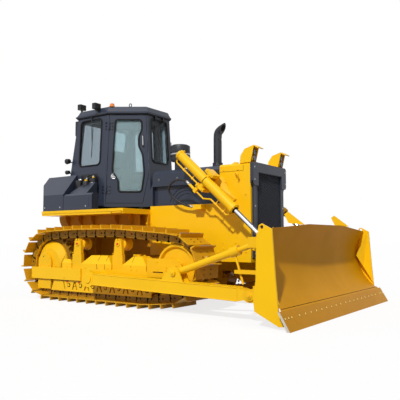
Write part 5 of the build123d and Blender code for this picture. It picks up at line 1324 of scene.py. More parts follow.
@dataclass
class Front:
    """The screen, its bolts and the headlamps' glasses on the radiator guard."""

    screen_x: float = 1.431
    half: float = 0.346
    zs: tuple[float, float] = (0.798, 1.866)
    spacing: float = 0.044
    wire: float = 0.0046
    low_screws: tuple[float, ...] = (0.76, 1.08, 1.4)
    high_screws: tuple[float, ...] = (1.76, 1.93)
    lamp_ys: tuple[float, ...] = (-0.4, 0.4)
    lamp_zs: tuple[float, ...] = (2.056, 2.142)
    lamp_x: float = 1.438
    lamp_radius: float = 0.034

    def build(self) -> None:
        """Builds the front's pieces."""
        self._screen()
        self._borders()
        self._lamps()

    def _screen(self) -> None:
        """Weaves the screen: two layers of slanting wires, trimmed to the grille's opening."""
        blank = Blank()
        low, high = self.zs
        tall = high - low
        for slant in (-1, 1):
            start = -self.half - tall
            while start < self.half + tall:
                x = self.screen_x + slant * self.wire * 0.6
                blank.bar((x, start, low), (x, start + slant * tall, high), self.wire, sides=6)
                start += self.spacing
        for out in (RIGHT, (0, 1, 0)):
            blank.trim(Vector(out) * self.half, out)
        # A near-black sheet of painted shade behind the wires, for the dark space behind the grille
        blank.block((1.4105, -0.344, 0.797), (1.4178, 0.344, 1.866), zone=1)
        blank.block((1.4255, -0.344, 0.797), (1.4264, 0.344, 1.866), zone=2)
        blank.piece("grille_screen_wires", "chassis", Slot.DARK, Finishes.MESH, Finishes.BLACK_AND_PAINTED_SHADE, Finishes.GAUZE)

    def _borders(self) -> None:
        """Builds the grille's screws, its hinge notches and the border's edge."""
        blank = Blank()
        for way in (-1, 1):
            for z in self.low_screws:
                blank.bolt((1.445, way * 0.405, z), FORWARD, 0.014, zone=1)
            for z in self.high_screws:
                blank.bolt((1.467, way * 0.452, z), FORWARD, 0.014, zone=1)
            blank.block((1.44, way * 0.487 - 0.004, 1.7), (1.46, way * 0.487 + 0.004, 1.745), zone=2)
        edge = rounded([(1.446, -self.half, self.zs[0]), (1.446, self.half, self.zs[0]),
                        (1.446, self.half, self.zs[1]), (1.446, -self.half, self.zs[1])], 0.02)
        blank.tube(edge, 0.006, sides=8, closed=True)
        blank.piece("grille_fittings", "chassis", Slot.GREY, Finishes.SLATE, Finishes.STEEL, Finishes.BLACK_AND_PAINTED_SHADE)

    def _lamps(self) -> None:
        """Builds the headlamps' bezels, reflectors and glasses."""
        blank = Blank()
        for y in self.lamp_ys:
            for z in self.lamp_zs:
                x = self.lamp_x
                blank.ring((x, y, z), FORWARD, 0.039, 0.006, sides=28)
                blank.bar((x - 0.004, y, z), (x + 0.003, y, z), 0.037, sides=28, edge=0.002, zone=1)
                for shift in (-0.024, -0.012, 0.0, 0.012, 0.024):
                    reach = math.sqrt(self.lamp_radius ** 2 - shift ** 2)
                    blank.block((x + 0.002, y + shift - 0.0012, z - reach),
                                (x + 0.0045, y + shift + 0.0012, z + reach), zone=1)
        blank.piece("headlamp_glasses", "chassis", Slot.GLASS, Finishes.BLACK, Finishes.LENS)


# ---------------------------------------------------------------- cab
@dataclass
class CabShell:
    """The cab's leaning walls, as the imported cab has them: points on its outer faces."""

    base: float = 1.51
    front_x: float = -0.506
    rear_x: float = -2.01
    half: float = 0.725
    front_half: float = 0.287
    angle: float = 35.4
    leans: tuple[float, float, float, float] = (4.0, 2.3, 2.9, 7.4)
    edge: float = 0.02
    post: float = 0.032

    def corners(self, z: float) -> tuple[Vector, Vector, Vector]:
        """Gives the right side's front, wide and rear corners.

        Args:
            z: the height.

        Returns:
            The three corners on the outer faces.
        """
        front, door, side, rear = [(z - self.base) * math.tan(math.radians(a)) for a in self.leans]
        sine, cosine = math.sin(math.radians(self.angle)), math.cos(math.radians(self.angle))
        reach = sine * self.front_x + cosine * self.front_half - door
        front_x, side_y = self.front_x - front, self.half - side
        return (Vector((front_x, -(reach - sine * front_x) / cosine, z)),
                Vector(((reach - cosine * side_y) / sine, -side_y, z)),
                Vector((self.rear_x + rear, -side_y, z)))

    def door_out(self) -> Vector:
        """Gives the right door's outward direction."""
        turn, lean = math.radians(self.angle), math.radians(self.leans[1])
        return Vector((math.sin(turn) * math.cos(lean), -math.cos(turn) * math.cos(lean), math.sin(lean)))

    def on_door(self, across: float, height: float, out: float = 0.0) -> Vector:
        """Gives a point on the right door.

        Args:
            across: the share of the leaf's width, from its front edge.
            height: the height above the cab's base.
            out: the distance outwards.

        Returns:
            The point.
        """
        front, wide, _ = self.corners(self.base + height)
        run = wide - front
        reach = self.edge + across * (run.length - self.edge - self.post)
        return front + run.normalized() * reach + self.door_out() * out

    def on_front(self, y: float, z: float, out: float = 0.0) -> Vector:
        """Gives a point on the windscreen's wall."""
        return Vector((self.corners(z)[0].x + out, y, z))

    def on_side(self, x: float, z: float, out: float = 0.0) -> Vector:
        """Gives a point on the right rear side wall."""
        return Vector((x, self.corners(z)[1].y - out, z))

    def on_rear(self, y: float, z: float, out: float = 0.0) -> Vector:
        """Gives a point on the rear wall."""
        return Vector((self.corners(z)[2].x - out, y, z))


@dataclass
class Cab:
    """The cab's gaskets, handles, hinges' bolts, wipers and inside."""

    shell: CabShell = field(default_factory=CabShell)
    gasket: float = 0.014
    corner: float = 0.07
    door_corner: float = 0.042
    foot: float = 0.014
    head: float = 1.441
    shares: tuple[tuple[float, float], ...] = (
        (0.12, 0.945), (0.84, 0.945), (0.875, 0.45), (0.885, 0.36), (0.735, 0.265), (0.72, 0.125),
        (0.185, 0.125), (0.105, 0.33), (0.125, 0.545), (0.215, 0.64), (0.215, 0.75), (0.12, 0.83))
    hinge_heights: tuple[float, ...] = (0.228, 1.263)
    hinge_bolts: tuple[float, ...] = (-0.052, 0.0, 0.052)
    front_sill: float = 2.19
    side_sill: float = 2.15
    lintel: float = 2.915
    wiper_top: float = 2.945
    rim_z: float = 2.974
    seat_x: float = -1.33
    levers: tuple[tuple[float, float], ...] = ((0.43, 0.05), (0.37, 0.03), (-0.43, 0.06))
    post_lamps: tuple[tuple[float, float], ...] = ((2.255, 0.048), (2.07, 0.036))

    def build(self) -> None:
        """Builds the cab's pieces."""
        self._window_gaskets()
        for side in Side:
            self._door(side)
        self._wipers()
        self._roof_line()
        self._inside()
        self._service_fittings()

    def _window_gaskets(self) -> None:
        """Lays the rubber round the fixed windows."""
        shell, blank = self.shell, Blank()
        front = self._window(-0.212, 0.212, self.front_sill)
        blank.tube([shell.on_front(y, z, 0.001) for y, z in front], self.gasket, sides=8, closed=True)
        rear = self._window(-0.535, 0.535, self.side_sill)
        blank.tube([shell.on_rear(y, z, 0.001) for y, z in rear], self.gasket, sides=8, closed=True)
        loop = [shell.on_side(x, z, 0.001) for x, z in self._window(-1.742, -1.25, self.side_sill)]
        blank.tube(loop, self.gasket, sides=8, closed=True)
        blank.tube([(p.x, -p.y, p.z) for p in loop], self.gasket, sides=8, closed=True)
        blank.piece("window_gaskets", "chassis", Slot.RUBBER, Finishes.GASKET)

    def _window(self, start: float, end: float, sill: float) -> list[tuple[float, float]]:
        """Outlines a window.

        Args:
            start: its first edge along the wall.
            end: its other edge along the wall.
            sill: the height of its foot.

        Returns:
            The rounded outline's points, along the wall and up.
        """
        corners = [(start, 0, sill), (end, 0, sill), (end, 0, self.lintel), (start, 0, self.lintel)]
        return [(p.x, p.z) for p in rounded(corners, self.corner)]

    def _door(self, side: Side) -> None:
        """Builds a door's gasket, handle, catch and hinge bolts.

        Args:
            side: the side that it is for.
        """
        shell, blank = self.shell, Blank()
        tall = self.head - self.foot
        outline = [shell.on_door(a, self.foot + u * tall, 0.001) for a, u in self.shares]
        blank.tube(rounded(outline, self.door_corner), self.gasket, sides=8, closed=True)
        out = shell.door_out()
        self._handle(blank, out)
        self._catch(blank, out)
        for height in self.hinge_heights:
            for rise in self.hinge_bolts:
                blank.bolt(shell.on_door(0.925, height + rise), out, 0.026, washer=False, zone=2)
        blank.take(side)
        blank.piece(f"door_fittings_{side.value}", f"door_{side.value}", Slot.RUBBER, Finishes.GASKET,
                    Finishes.STEEL, Finishes.BLACK)
        post = Blank()
        for height in self.hinge_heights:
            wide = shell.corners(shell.base + height)[1]
            for rise in self.hinge_bolts:
                post.bolt(wide + Vector((-0.03, 0, rise)), (0, -1, 0.05), 0.026, washer=False)
        post.take(side)
        post.piece(f"hinge_bolts_{side.value}", "chassis", Slot.DARK, Finishes.BLACK)

    def _catch(self, blank: Blank, out: Vector) -> None:
        """Builds the round catch with its cross handle.

        Args:
            blank: the door's blank.
            out: the door's outward direction.
        """
        middle = self.shell.on_door(0.845, 0.44, 0.0)
        across = out.cross(Vector(UP)).normalized() * 0.028
        grip = middle + out * 0.008
        blank.bar(middle - out * 0.001, middle + out * 0.006, 0.04, sides=32, edge=0.003, zone=2)
        blank.ring(middle + out * 0.006, out, 0.036, 0.006, sides=32, zone=1)
        blank.bar(grip - across, grip + across, 0.005, sides=8, zone=1)
        blank.bar(middle + out * 0.004, middle + out * 0.013, 0.012, sides=20, edge=0.002, zone=1)

    def _handle(self, blank: Blank, out: Vector) -> None:
        """Builds the upright grab bar in the window's waist.

        Args:
            blank: the door's blank.
            out: the door's outward direction.
        """
        shell = self.shell
        low, high = shell.on_door(0.105, 0.935), shell.on_door(0.105, 1.085)
        reach = out * 0.036
        way = (high - low).normalized() * 0.02
        route = smooth_route([low - out * 0.002, low + reach, low + reach + way, high + reach - way,
                              high + reach, high - out * 0.002])
        blank.tube(route, 0.009, sides=10, zone=1)
        for place in (low, high):
            blank.bar(place - out * 0.001, place + out * 0.006, 0.02, sides=16, edge=0.002, zone=2)

    def _wipers(self) -> None:
        """Builds the wipers of the windscreen, the side windows and the rear window."""
        shell, blank, high = self.shell, Blank(), self.wiper_top
        for y in (-0.1, 0.1):
            low_y = y + 0.052
            top, foot = shell.on_front(y, high, 0.012), shell.on_front(low_y, 2.56, 0.03)
            blank.bar(shell.on_front(y, high, -0.002), shell.on_front(y, high, 0.03), 0.016, sides=12)
            for shift in (-0.01, 0.01):
                blank.bar(top + Vector((0.01, shift, 0)), foot + Vector((0, shift, 0)), 0.004, sides=8)
            blank.bar(shell.on_front(low_y, 2.83, 0.02), shell.on_front(low_y, 2.3, 0.02), 0.006, sides=8)
        places = [shell.on_side(-1.48, high, 0.018), shell.on_side(-1.44, 2.55, 0.024),
                  shell.on_side(-1.44, 2.78, 0.014), shell.on_side(-1.44, 2.28, 0.014)]
        for way in (-1, 1):
            top, foot, blade_top, blade_low = [Vector((p.x, -way * p.y, p.z)) for p in places]
            blank.bar(top, foot, 0.005, sides=8)
            blank.bar(blade_top, blade_low, 0.006, sides=8)
            blank.bar(top + Vector((0, way * 0.012, 0)), top, 0.016, sides=12)
        blank.bar(shell.on_rear(0.1, high, 0.018), shell.on_rear(0.0, 2.56, 0.026), 0.005, sides=8)
        blank.bar(shell.on_rear(0.0, 2.8, 0.016), shell.on_rear(0.0, 2.28, 0.016), 0.006, sides=8)
        blank.bar(shell.on_rear(0.1, high, -0.002), shell.on_rear(0.1, high, 0.03), 0.016, sides=12)
        blank.piece("wipers", "chassis", Slot.DARK, Finishes.BLACK)

    def _roof_line(self) -> None:
        """Lays the black seal under the roof's rim."""
        blank = Blank()
        right = list(self.shell.corners(self.rim_z))
        loop = right + [Vector((c.x, -c.y, c.z)) for c in reversed(right)]
        middle = Vector((sum(c.x for c in loop) / len(loop), 0, self.rim_z))
        corners = [c + (c - middle).normalized() * 0.012 for c in loop]
        for start, end in zip(corners, corners[1:] + corners[:1]):
            blank.bar(start, end, 0.017, sides=8)
        blank.piece("roof_seal", "chassis", Slot.RUBBER, Finishes.GASKET)

    def _inside(self) -> None:
        """Builds the seat's metalwork, the levers, the dash's dials, the pedals and the headliner."""
        blank, x = Blank(), self.seat_x
        for way in (-1, 1):
            arm, box = way * 0.315, way * 0.43
            blank.block((x - 0.17, arm - 0.035, 2.09), (x + 0.2, arm + 0.035, 2.135), edge=0.012)
            blank.bar((x - 0.13, arm, 1.9), (x - 0.13, arm, 2.1), 0.02, sides=12)
            blank.block((x - 0.1, box - 0.09, 1.512), (x + 0.38, box + 0.09, 1.93), edge=0.015)
        for y, lean in self.levers:
            foot, knob = Vector((x + 0.28, y, 1.92)), Vector((x + 0.28 + lean, y, 2.13))
            blank.bar(foot, knob, 0.008, sides=10)
            blank.bar(knob, knob + Vector((0.006, 0, 0.055)), 0.02, 0.024, sides=14, edge=0.004)
            blank.bar(foot, foot + Vector((0, 0, 0.045)), 0.035, 0.014, sides=14)
        for y in (-0.11, 0.0, 0.11):
            blank.bar((-0.655, y, 1.955), (-0.672, y, 1.976), 0.034, sides=24, edge=0.002, zone=1)
        for y in (-0.14, 0.14):
            blank.block((-0.86, y - 0.04, 1.53), (-0.8, y + 0.04, 1.66), edge=0.006)
        inwards = ((-0.09, 0.02, 0), (0, 0.09, 0), (0.09, 0.09, 0))
        ceiling = [corner + Vector(shift) for corner, shift in zip(self.shell.corners(2.958), inwards)]
        blank.plate(ceiling + [Vector((c.x, -c.y, c.z)) for c in reversed(ceiling)], (0, 0, 0.012))
        blank.piece("cab_controls", "chassis", Slot.DARK, Finishes.VINYL, Finishes.LENS)

    def _service_fittings(self) -> None:
        """Builds the valves, pipes and caps on the boxes beside the cab, and its rear posts' lamps."""
        blank = Blank()
        self._valves(blank)
        blank.mirror()
        for way in (-1, 1):
            self._rear_lamps(blank, way)
        blank.piece("service_fittings", "chassis", Slot.DARK, Finishes.BLACK, Finishes.STEEL, Finishes.BEACON,
                    Finishes.YELLOW)

    def _valves(self, blank: Blank) -> None:
        """Builds the right box's backing plate, valves, filter, pipes and caps.

        Args:
            blank: the service fittings' blank.
        """
        outline = ((-1.66, 1.76), (-1.26, 1.76), (-1.26, 1.95), (-1.3, 2.01), (-1.66, 2.01))
        blank.plate([self.shell.on_side(x, z, -0.002) for x, z in outline], (0, -0.01, 0))
        blank.block((-1.64, -0.86, 1.66), (-1.52, -0.745, 1.9), edge=0.01)
        blank.bar((-1.58, -0.8, 1.895), (-1.58, -0.8, 1.925), 0.034, sides=20, edge=0.004, zone=1)
        blank.bar((-1.42, -0.83, 1.68), (-1.42, -0.83, 1.88), 0.048, sides=24, edge=0.01)
        blank.bar((-1.42, -0.83, 1.878), (-1.42, -0.83, 1.904), 0.026, sides=16, edge=0.003, zone=3)
        blank.block((-1.375, -0.8, 1.7), (-1.262, -0.745, 1.93), edge=0.008)
        blank.block((-1.365, -0.804, 1.79), (-1.29, -0.798, 1.86), edge=0.001, zone=1)
        for lift in (0.0, 0.045, 0.09):
            pipe = [(-1.66, -0.735, 1.8 + lift), (-1.52, -0.742, 1.85 + lift),
                    (-1.42, -0.746, 1.905 + lift), (-1.36, -0.744, 1.93 + lift * 0.6),
                    (-1.31, -0.735, 1.92 + lift * 0.4), (-1.28, -0.72, 1.84)]
            blank.tube(smooth_route(pipe), 0.011, sides=10)
        for x, z in ((-1.48, 1.93), (-1.33, 1.955)):
            blank.bar((x, -0.75, z), (x, -0.764, z), 0.018, sides=12, edge=0.002, zone=1)
        blank.bar((-1.31, -0.775, 1.925), (-1.31, -0.775, 1.95), 0.018, sides=14, edge=0.002, zone=3)

    def _rear_lamps(self, blank: Blank, way: int) -> None:
        """Builds a rear post's bar lamp and its two round lamps on their arms.

        Args:
            blank: the service fittings' blank.
            way: the post's side, as the sign of Y.
        """
        bar = self.shell.on_rear(way * 0.61, 2.82)
        blank.block(bar + Vector((-0.07, -0.03, -0.125)), bar + Vector((0.004, 0.03, 0.125)), edge=0.008)
        for z, size in self.post_lamps:
            corner = self.shell.corners(z)[2]
            post, lamp = Vector((corner.x, -way * corner.y, z)), Vector((-1.95, way * 0.745, z))
            back, face, rim = [lamp + Vector((x, 0, 0)) for x in (-0.044, -0.038, -0.04)]
            foot = post + Vector((0.02, -way * 0.02, -0.02))
            blank.bar(foot, lamp + Vector((0, 0, -0.01)), 0.01, sides=10)
            blank.bar(rim, lamp + Vector((0.03, 0, 0)), size, size * 0.8, sides=20, edge=0.004)
            blank.bar(back, face, size * 0.86, sides=20, zone=2)


@dataclass
class Seat:
    """The operator's padded seat: crowned cushions on a bellows, in place of the plain solid."""

    x: float = -1.33
    base: float = 1.51
    half: float = 0.255
    back_lean: float = -9.5
    cuts: int = 11
    channel_y: float = 0.11
    folds: int = 5

    def build(self) -> None:
        """Builds the cushions and the suspension box."""
        x, base, half = self.x, self.base, self.half
        self._cushion("seat_cushion", (x - 0.235, -half, base + 0.285), (x + 0.262, half, base + 0.415),
                      Matrix.Identity(4), 0.018)
        turn = Matrix.Rotation(math.radians(self.back_lean), 4, "Y")
        lean = Matrix.Translation((x - 0.19, 0, base + 0.4)) @ turn
        self._cushion("seat_back", (-0.055, -half + 0.02, 0.0), (0.06, half - 0.02, 0.6), lean, 0.016)
        blank = Blank()
        blank.block((x - 0.195, -0.165, base), (x + 0.155, 0.165, base + 0.285), edge=0.02)
        for k in range(self.folds):
            z = base + 0.06 + 0.04 * k
            rear, front = x - 0.198, x + 0.158
            fold = [(rear, -0.168, z), (front, -0.168, z), (front, 0.168, z), (rear, 0.168, z)]
            blank.tube(rounded(fold, 0.03), 0.009, sides=8, closed=True)
        box = blank.piece("seat_suspension", "chassis", Slot.DARK, Finishes.VINYL)
        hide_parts("seat")

    def _cushion(self, name: str, low: Point, high: Point, frame: Matrix, crown: float) -> None:
        """Builds one cushion: a box with crowned faces, pulled in along its sewn channels.

        Args:
            name: the piece's name.
            low: the lowest corner in its frame.
            high: the highest corner in its frame.
            frame: the cushion's frame.
            crown: how far its large faces swell.
        """
        low, high, inset = Vector(low), Vector(high), Vector((crown, crown, crown))
        blank = Blank()
        blank.frame = frame
        blank.block(low + inset, high - inset)
        bmesh.ops.subdivide_edges(blank.mesh, edges=blank.mesh.edges[:], cuts=self.cuts, use_grid_fill=True)
        bmesh.ops.recalc_face_normals(blank.mesh, faces=blank.mesh.faces[:])
        size, middle, back = high - low, (high + low) / 2, frame.inverted()
        for vert in blank.mesh.verts:
            place = back @ vert.co - middle
            share = [max(0.0, 1 - abs(2 * place[k] / (size[k] - 2 * crown)) ** 2.4) for k in range(3)]
            swell = Vector([self._swell(share, k, crown, place[k]) for k in range(3)])
            channel = 1 - 0.45 * math.exp(-((abs(place.y) - self.channel_y) / 0.012) ** 2)
            vert.co = frame @ (middle + place + swell * channel)
        piece = blank.piece(name, "chassis", Slot.FABRIC, Finishes.SEAT)
        soften = piece.modifiers.new("soften", "SUBSURF")
        soften.levels = soften.render_levels = 1

    @staticmethod
    def _swell(share: list[float], axis: int, crown: float, place: float) -> float:
        """Gives how far a point of the cushion's skin swells along one axis.

        Args:
            share: how near the point is to the middle along each axis, from 0 on a face.
            axis: which axis it swells along.
            crown: how far the large faces swell.
            place: the point's place along the axis.

        Returns:
            The distance, which is 0 on every face but the two that look along the axis.
        """
        if share[axis] >= 1e-6:
            return 0.0
        across = math.prod(share[other] for other in range(3) if other != axis)
        return math.copysign(crown * across ** 0.4, place)


# ---------------------------------------------------------------- lift gear
@dataclass
class LiftGear:
    """The lift cylinders' hoses, clamps, gland bolts and the rods' eye pins."""

    trunnion: tuple[float, float] = (0.854, 1.755)
    eye: tuple[float, float] = (1.911, 0.806)
    lift_y: float = -0.727
    yoke_y: float = -0.502
    yoke_bolts: tuple[tuple[float, float], ...] = (
        (0.955, 1.8), (1.03, 1.74), (1.13, 1.56), (1.08, 1.5), (0.96, 1.64))
    pin: tuple[float, float, float] = (0.034, 0.084, 0.034)
    hose: float = 0.015
    route: tuple[tuple[float, float, float], ...] = (
        (0.578, -0.727, 1.718), (0.52, -0.727, 1.77), (0.425, -0.722, 1.8), (0.315, -0.712, 1.797),
        (0.215, -0.695, 1.757), (0.15, -0.672, 1.685), (0.16, -0.645, 1.605), (0.23, -0.62, 1.535),
        (0.33, -0.59, 1.468), (0.44, -0.56, 1.418), (0.54, -0.56, 1.418))

    def along(self, reach: float, lift: float, side: float = 0.0) -> Vector:
        """Gives a point by the right cylinder.

        Args:
            reach: the distance along it from its trunnion.
            lift: the distance above its line.
            side: the distance inboard.

        Returns:
            The point.
        """
        start = Vector(self.trunnion)
        way = (Vector(self.eye) - start).normalized()
        place = start + way * reach + way.orthogonal() * lift
        return Vector((place.x, self.lift_y + side, place.y))

    def build(self) -> None:
        """Builds the pieces of both sides."""
        for side in Side:
            self._hose(side)
            self._barrel(side)
            self._yoke(side)
        self._eye_pins()

    def _hose(self, side: Side) -> None:
        """Lays the hose in one smooth sweep, with its crimped fittings.

        Args:
            side: the side that it is for.
        """
        blank = Blank()
        blank.tube(smooth_route(self.route), self.hose, sides=12)
        blank.take(side)
        hose = blank.piece(f"lift_hose_{side.value}", "", Slot.RUBBER, Finishes.HOSE)
        flip = -1 if side is Side.LEFT else 1
        low, high = [(x, y * flip, z) for x, y, z in (self.route[-3], self.route[1])]
        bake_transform(hose)
        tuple(low)
        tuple(high)
        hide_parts(f"hose_{side.value}")
        self._fitting("upper", side, f"lift_barrel_{side.value}", self.route[0], self.route[1])
        self._fitting("lower", side, "chassis", self.route[-1], self.route[-2])

    @staticmethod
    def _fitting(name: str, side: Side, body: str, foot: Point, ahead: Point) -> None:
        """Builds a hose's crimped fitting with its nut.

        Args:
            name: which end of the hose it is on.
            side: the side that it is for.
            body: the body that it rides on.
            foot: the hose's end.
            ahead: the next point of the hose's route.
        """
        foot = Vector(foot)
        way = (Vector(ahead) - foot).normalized()
        blank = Blank()
        blank.bar(foot - way * 0.002, foot + way * 0.022, 0.024, sides=6, edge=0.002)
        blank.bar(foot + way * 0.02, foot + way * 0.07, 0.0195, sides=20, edge=0.002)
        for reach in (0.028, 0.039, 0.05, 0.061):
            blank.ring(foot + way * reach, way, 0.0195, 0.0022, sides=20)
        blank.take(side)
        blank.piece(f"hose_fitting_{name}_{side.value}", body, Slot.CHROME, Finishes.STEEL)

    def _barrel(self, side: Side) -> None:
        """Builds a barrel's wiper ring, gland bolts, band, pipe clamps and trunnion bolts.

        Args:
            side: the side that it is for.
        """
        blank = Blank()
        front = self.along(0.624, 0)
        way = (self.along(1, 0) - self.along(0, 0)).normalized()
        blank.bar(front - way * 0.002, front + way * 0.01, 0.046, sides=28, edge=0.003, zone=1)
        blank.ring(self.along(0, 0), way, 0.0685, 0.004, sides=36, zone=1)
        across = Vector((0, 1, 0))
        up = way.cross(across).normalized()
        for k in range(8):
            angle = math.radians(45 * k + 22)
            place = front + (across * math.cos(angle) + up * math.sin(angle)) * 0.062
            blank.bolt(place, way, 0.014, washer=False)
        for reach in (-0.4, -0.2, 0.34, 0.5):
            drop = -0.12 if reach < 0 else -0.14
            blank.bar(self.along(reach - 0.018, drop), self.along(reach + 0.018, drop), 0.017, sides=14,
                      edge=0.002)
            blank.bar(self.along(reach, drop), self.along(reach, -0.06), 0.008, sides=8)
        for lift in (-0.166, 0.166):
            for shift in (-0.048, 0.048):
                blank.bolt(self.along(shift, lift * 0.75, -0.038), RIGHT, 0.022)
        blank.bar(self.along(-0.57, 0.066), self.along(-0.57, 0.09), 0.012, sides=10)
        blank.take(side)
        blank.piece(f"cylinder_fittings_{side.value}", f"lift_barrel_{side.value}", Slot.YELLOW,
                    Finishes.YELLOW, Finishes.BLACK_AND_PAINTED_SHADE)

    def _yoke(self, side: Side) -> None:
        """Builds the bolts round a yoke's casting on the guard.

        Args:
            side: the side that it is for.
        """
        blank = Blank()
        for x, z in self.yoke_bolts:
            blank.bolt((x, self.yoke_y, z), RIGHT, 0.022)
        blank.take(side)
        blank.piece(f"yoke_bolts_{side.value}", "chassis", Slot.YELLOW, Finishes.CAST)

    def _eye_pins(self) -> None:
        """Builds the lift rods' eye pins between the blade's lugs."""
        blank = Blank()
        x, z = self.eye
        near, far, radius = self.pin
        y = self.lift_y
        blank.bar((x, y - far, z), (x, y - near, z), radius, sides=24, edge=0.003)
        blank.bar((x, y + near, z), (x, y + far, z), radius, sides=24, edge=0.003)
        blank.bolt((x, y - far, z), RIGHT, 0.024)
        blank.mirror()
        blank.piece("lift_eye_pins", "blade", Slot.YELLOW, Finishes.CAST)


# ---------------------------------------------------------------- arms, braces and blade
@dataclass
class Arms:
    """Weld beads, pins and grease fittings of the push arms and braces."""

    out_y: float = -1.365
    rear: tuple[float, float] = (-0.77, 0.385)
    front: tuple[float, float] = (1.933, 0.305)
    brace_rear: tuple[float, float] = (0.791, 0.527)
    brace_front: tuple[float, float] = (1.928, 0.893)
    brace_y: float = -1.29
    tilt_ports: tuple[float, float] = (0.7, 0.24)
    height: float = 0.08
    width: float = 0.15

    def build(self) -> None:
        """Builds the arms' pieces."""
        self._arms()
        self._braces()

    def _arms(self) -> None:
        """Builds the arms' weld beads and the pins of the braces' rear and the blade's eyes."""
        blank = Blank()
        start, way, up, reach = self._line(self.rear, self.front)
        lift = self.height - 0.004
        for y in (self.out_y, self.out_y + self.width):
            for shift in (-lift, lift):
                bead = start + up * shift + Vector((0, y, 0))
                blank.bar(bead + way * 0.09, bead + way * (reach - 0.205), 0.0065, sides=8)
        for share in (0.1, reach - 0.2):
            bead = start + way * share + Vector((0, self.out_y, 0))
            blank.bar(bead - up * 0.078, bead + up * 0.078, 0.007, sides=8)
        x, z = self.brace_rear
        blank.bar((x, self.out_y - 0.01, z), (x, self.out_y - 0.022, z), 0.04, sides=28, edge=0.004)
        blank.bolt((x, self.out_y - 0.022, z), RIGHT, 0.024)
        blank.mirror()
        blank.piece("arm_welds", "push_frame", Slot.YELLOW, Finishes.YELLOW)
        pins = Blank()
        x, z = self.front
        pins.bar((x, -1.406, z), (x, -1.416, z), 0.056, sides=32, edge=0.004)
        pins.bar((x, -1.414, z), (x, -1.426, z), 0.03, sides=24, edge=0.004)
        pins.bolt((x, -1.426, z), RIGHT, 0.022, washer=False)
        for ahead, above in ((0.048, 0.08), (0.052, -0.062)):
            pins.bolt((x + ahead, -1.4, z + above), RIGHT, 0.018)
        x, z = self.brace_front
        pins.bar((x, -1.358, z), (x, -1.37, z), 0.04, sides=28, edge=0.004)
        pins.bolt((x, -1.37, z), RIGHT, 0.022)
        pins.mirror()
        pins.piece("blade_pins", "blade", Slot.YELLOW, Finishes.CAST)

    @staticmethod
    def _line(rear: tuple[float, float], front: tuple[float, float]) -> tuple[Vector, Vector, Vector, float]:
        """Gives a member's line in the plane Y = 0.

        Args:
            rear: its rear pin in X and Z.
            front: its front pin in X and Z.

        Returns:
            Its start, its heading, the direction above it and its length.
        """
        start = Vector((rear[0], 0, rear[1]))
        run = Vector((front[0], 0, front[1])) - start
        way = run.normalized()
        return start, way, Vector((-way.z, 0, way.x)), run.length

    def _braces(self) -> None:
        """Builds the screw brace's grease fitting and beads, and the tilt cylinder's pipe and beads."""
        start, way, up, size = self._line(self.brace_rear, self.brace_front)
        start += Vector((0, self.brace_y, 0))
        screw = Blank()
        fitting = start + way * 0.5 + up * 0.044
        screw.bar(fitting - up * 0.004, fitting + up * 0.008, 0.014, sides=14, edge=0.002)
        screw.bar(fitting + up * 0.006, fitting + up * 0.022, 0.006, sides=10, edge=0.001, zone=1)
        for share in (size - 0.215, size - 0.325):
            screw.ring(start + way * share, way, 0.058, 0.005, sides=32)
        screw.piece("screw_brace_fittings", "brace_tube", Slot.YELLOW, Finishes.YELLOW, Finishes.STEEL)
        tilt = Blank()
        for share, radius in ((0.76, 0.056), (0.172, 0.058)):
            tilt.ring(start + way * share, way, radius, 0.006, sides=32)
        ports = [start + way * share for share in self.tilt_ports]
        for port in ports:
            tilt.bar(port + up * 0.06, port + up * 0.085, 0.016, sides=14, edge=0.002)
        tilt.bar(ports[1] + up * 0.078, ports[0] + up * 0.078, 0.008, sides=10)
        tilt.take(Side.LEFT)
        tilt.piece("tilt_cylinder_fittings", "tilt_barrel", Slot.YELLOW, Finishes.YELLOW)


@dataclass
class Blade:
    """The cutting edges' bolts and the bead where the moldboard meets them."""

    tip: tuple[float, float] = (2.57, 0.0)
    edge_top: tuple[float, float] = (2.451, 0.2)
    bolt_step: float = 0.152
    bit_bolts: tuple[float, ...] = (1.495, 1.572, 1.65)
    bead: tuple[tuple[float, float, float], ...] = (
        (2.4115, 0.0, 0.2162), (2.426, 0.0, 0.2182), (2.4505, 0.0, 0.2), (2.431, 0.0, 0.19))

    def build(self) -> None:
        """Builds the blade's pieces."""
        self._edge_bolts()
        self._welds()

    def _edge_bolts(self) -> None:
        """Sets the flush bolts along the cutting edge and the end bits."""
        blank = Blank()
        tip, top = Vector((self.tip[0], 0, self.tip[1])), Vector((self.edge_top[0], 0, self.edge_top[1]))
        way = (top - tip).normalized()
        out = Vector((way.z, 0, -way.x))
        for y in [0.09 + self.bolt_step * k for k in range(9)] + list(self.bit_bolts):
            for side in (-1, 1):
                middle = tip + way * 0.15 + Vector((0, side * y, 0))
                # Each bolt sits in a near-black disc of painted shade for its countersink
                blank.bar(middle - out * 0.004, middle + out * 0.0012, 0.017, sides=16)
                blank.bar(middle - out * 0.003, middle + out * 0.003, 0.014, sides=16, edge=0.001, zone=1)
        blank.piece("edge_bolts", "blade", Slot.TRACK, Finishes.BLACK_AND_PAINTED_SHADE, Finishes.EDGE_BOLT)

    def _welds(self) -> None:
        """Lays the bead between the moldboard and the cutting edge, with a near-black line of painted shade
        above it.
        """
        blank = Blank()
        blank.plate(self.bead, (0, -1.606, 0))
        blank.bar((2.427, 0.0, 0.2165), (2.427, -1.604, 0.2165), 0.0038, sides=8, zone=1)
        blank.mirror()
        blank.piece("blade_welds", "blade", Slot.YELLOW, Finishes.SHADED_BLADE_YELLOW, Finishes.BLACK_AND_PAINTED_SHADE)


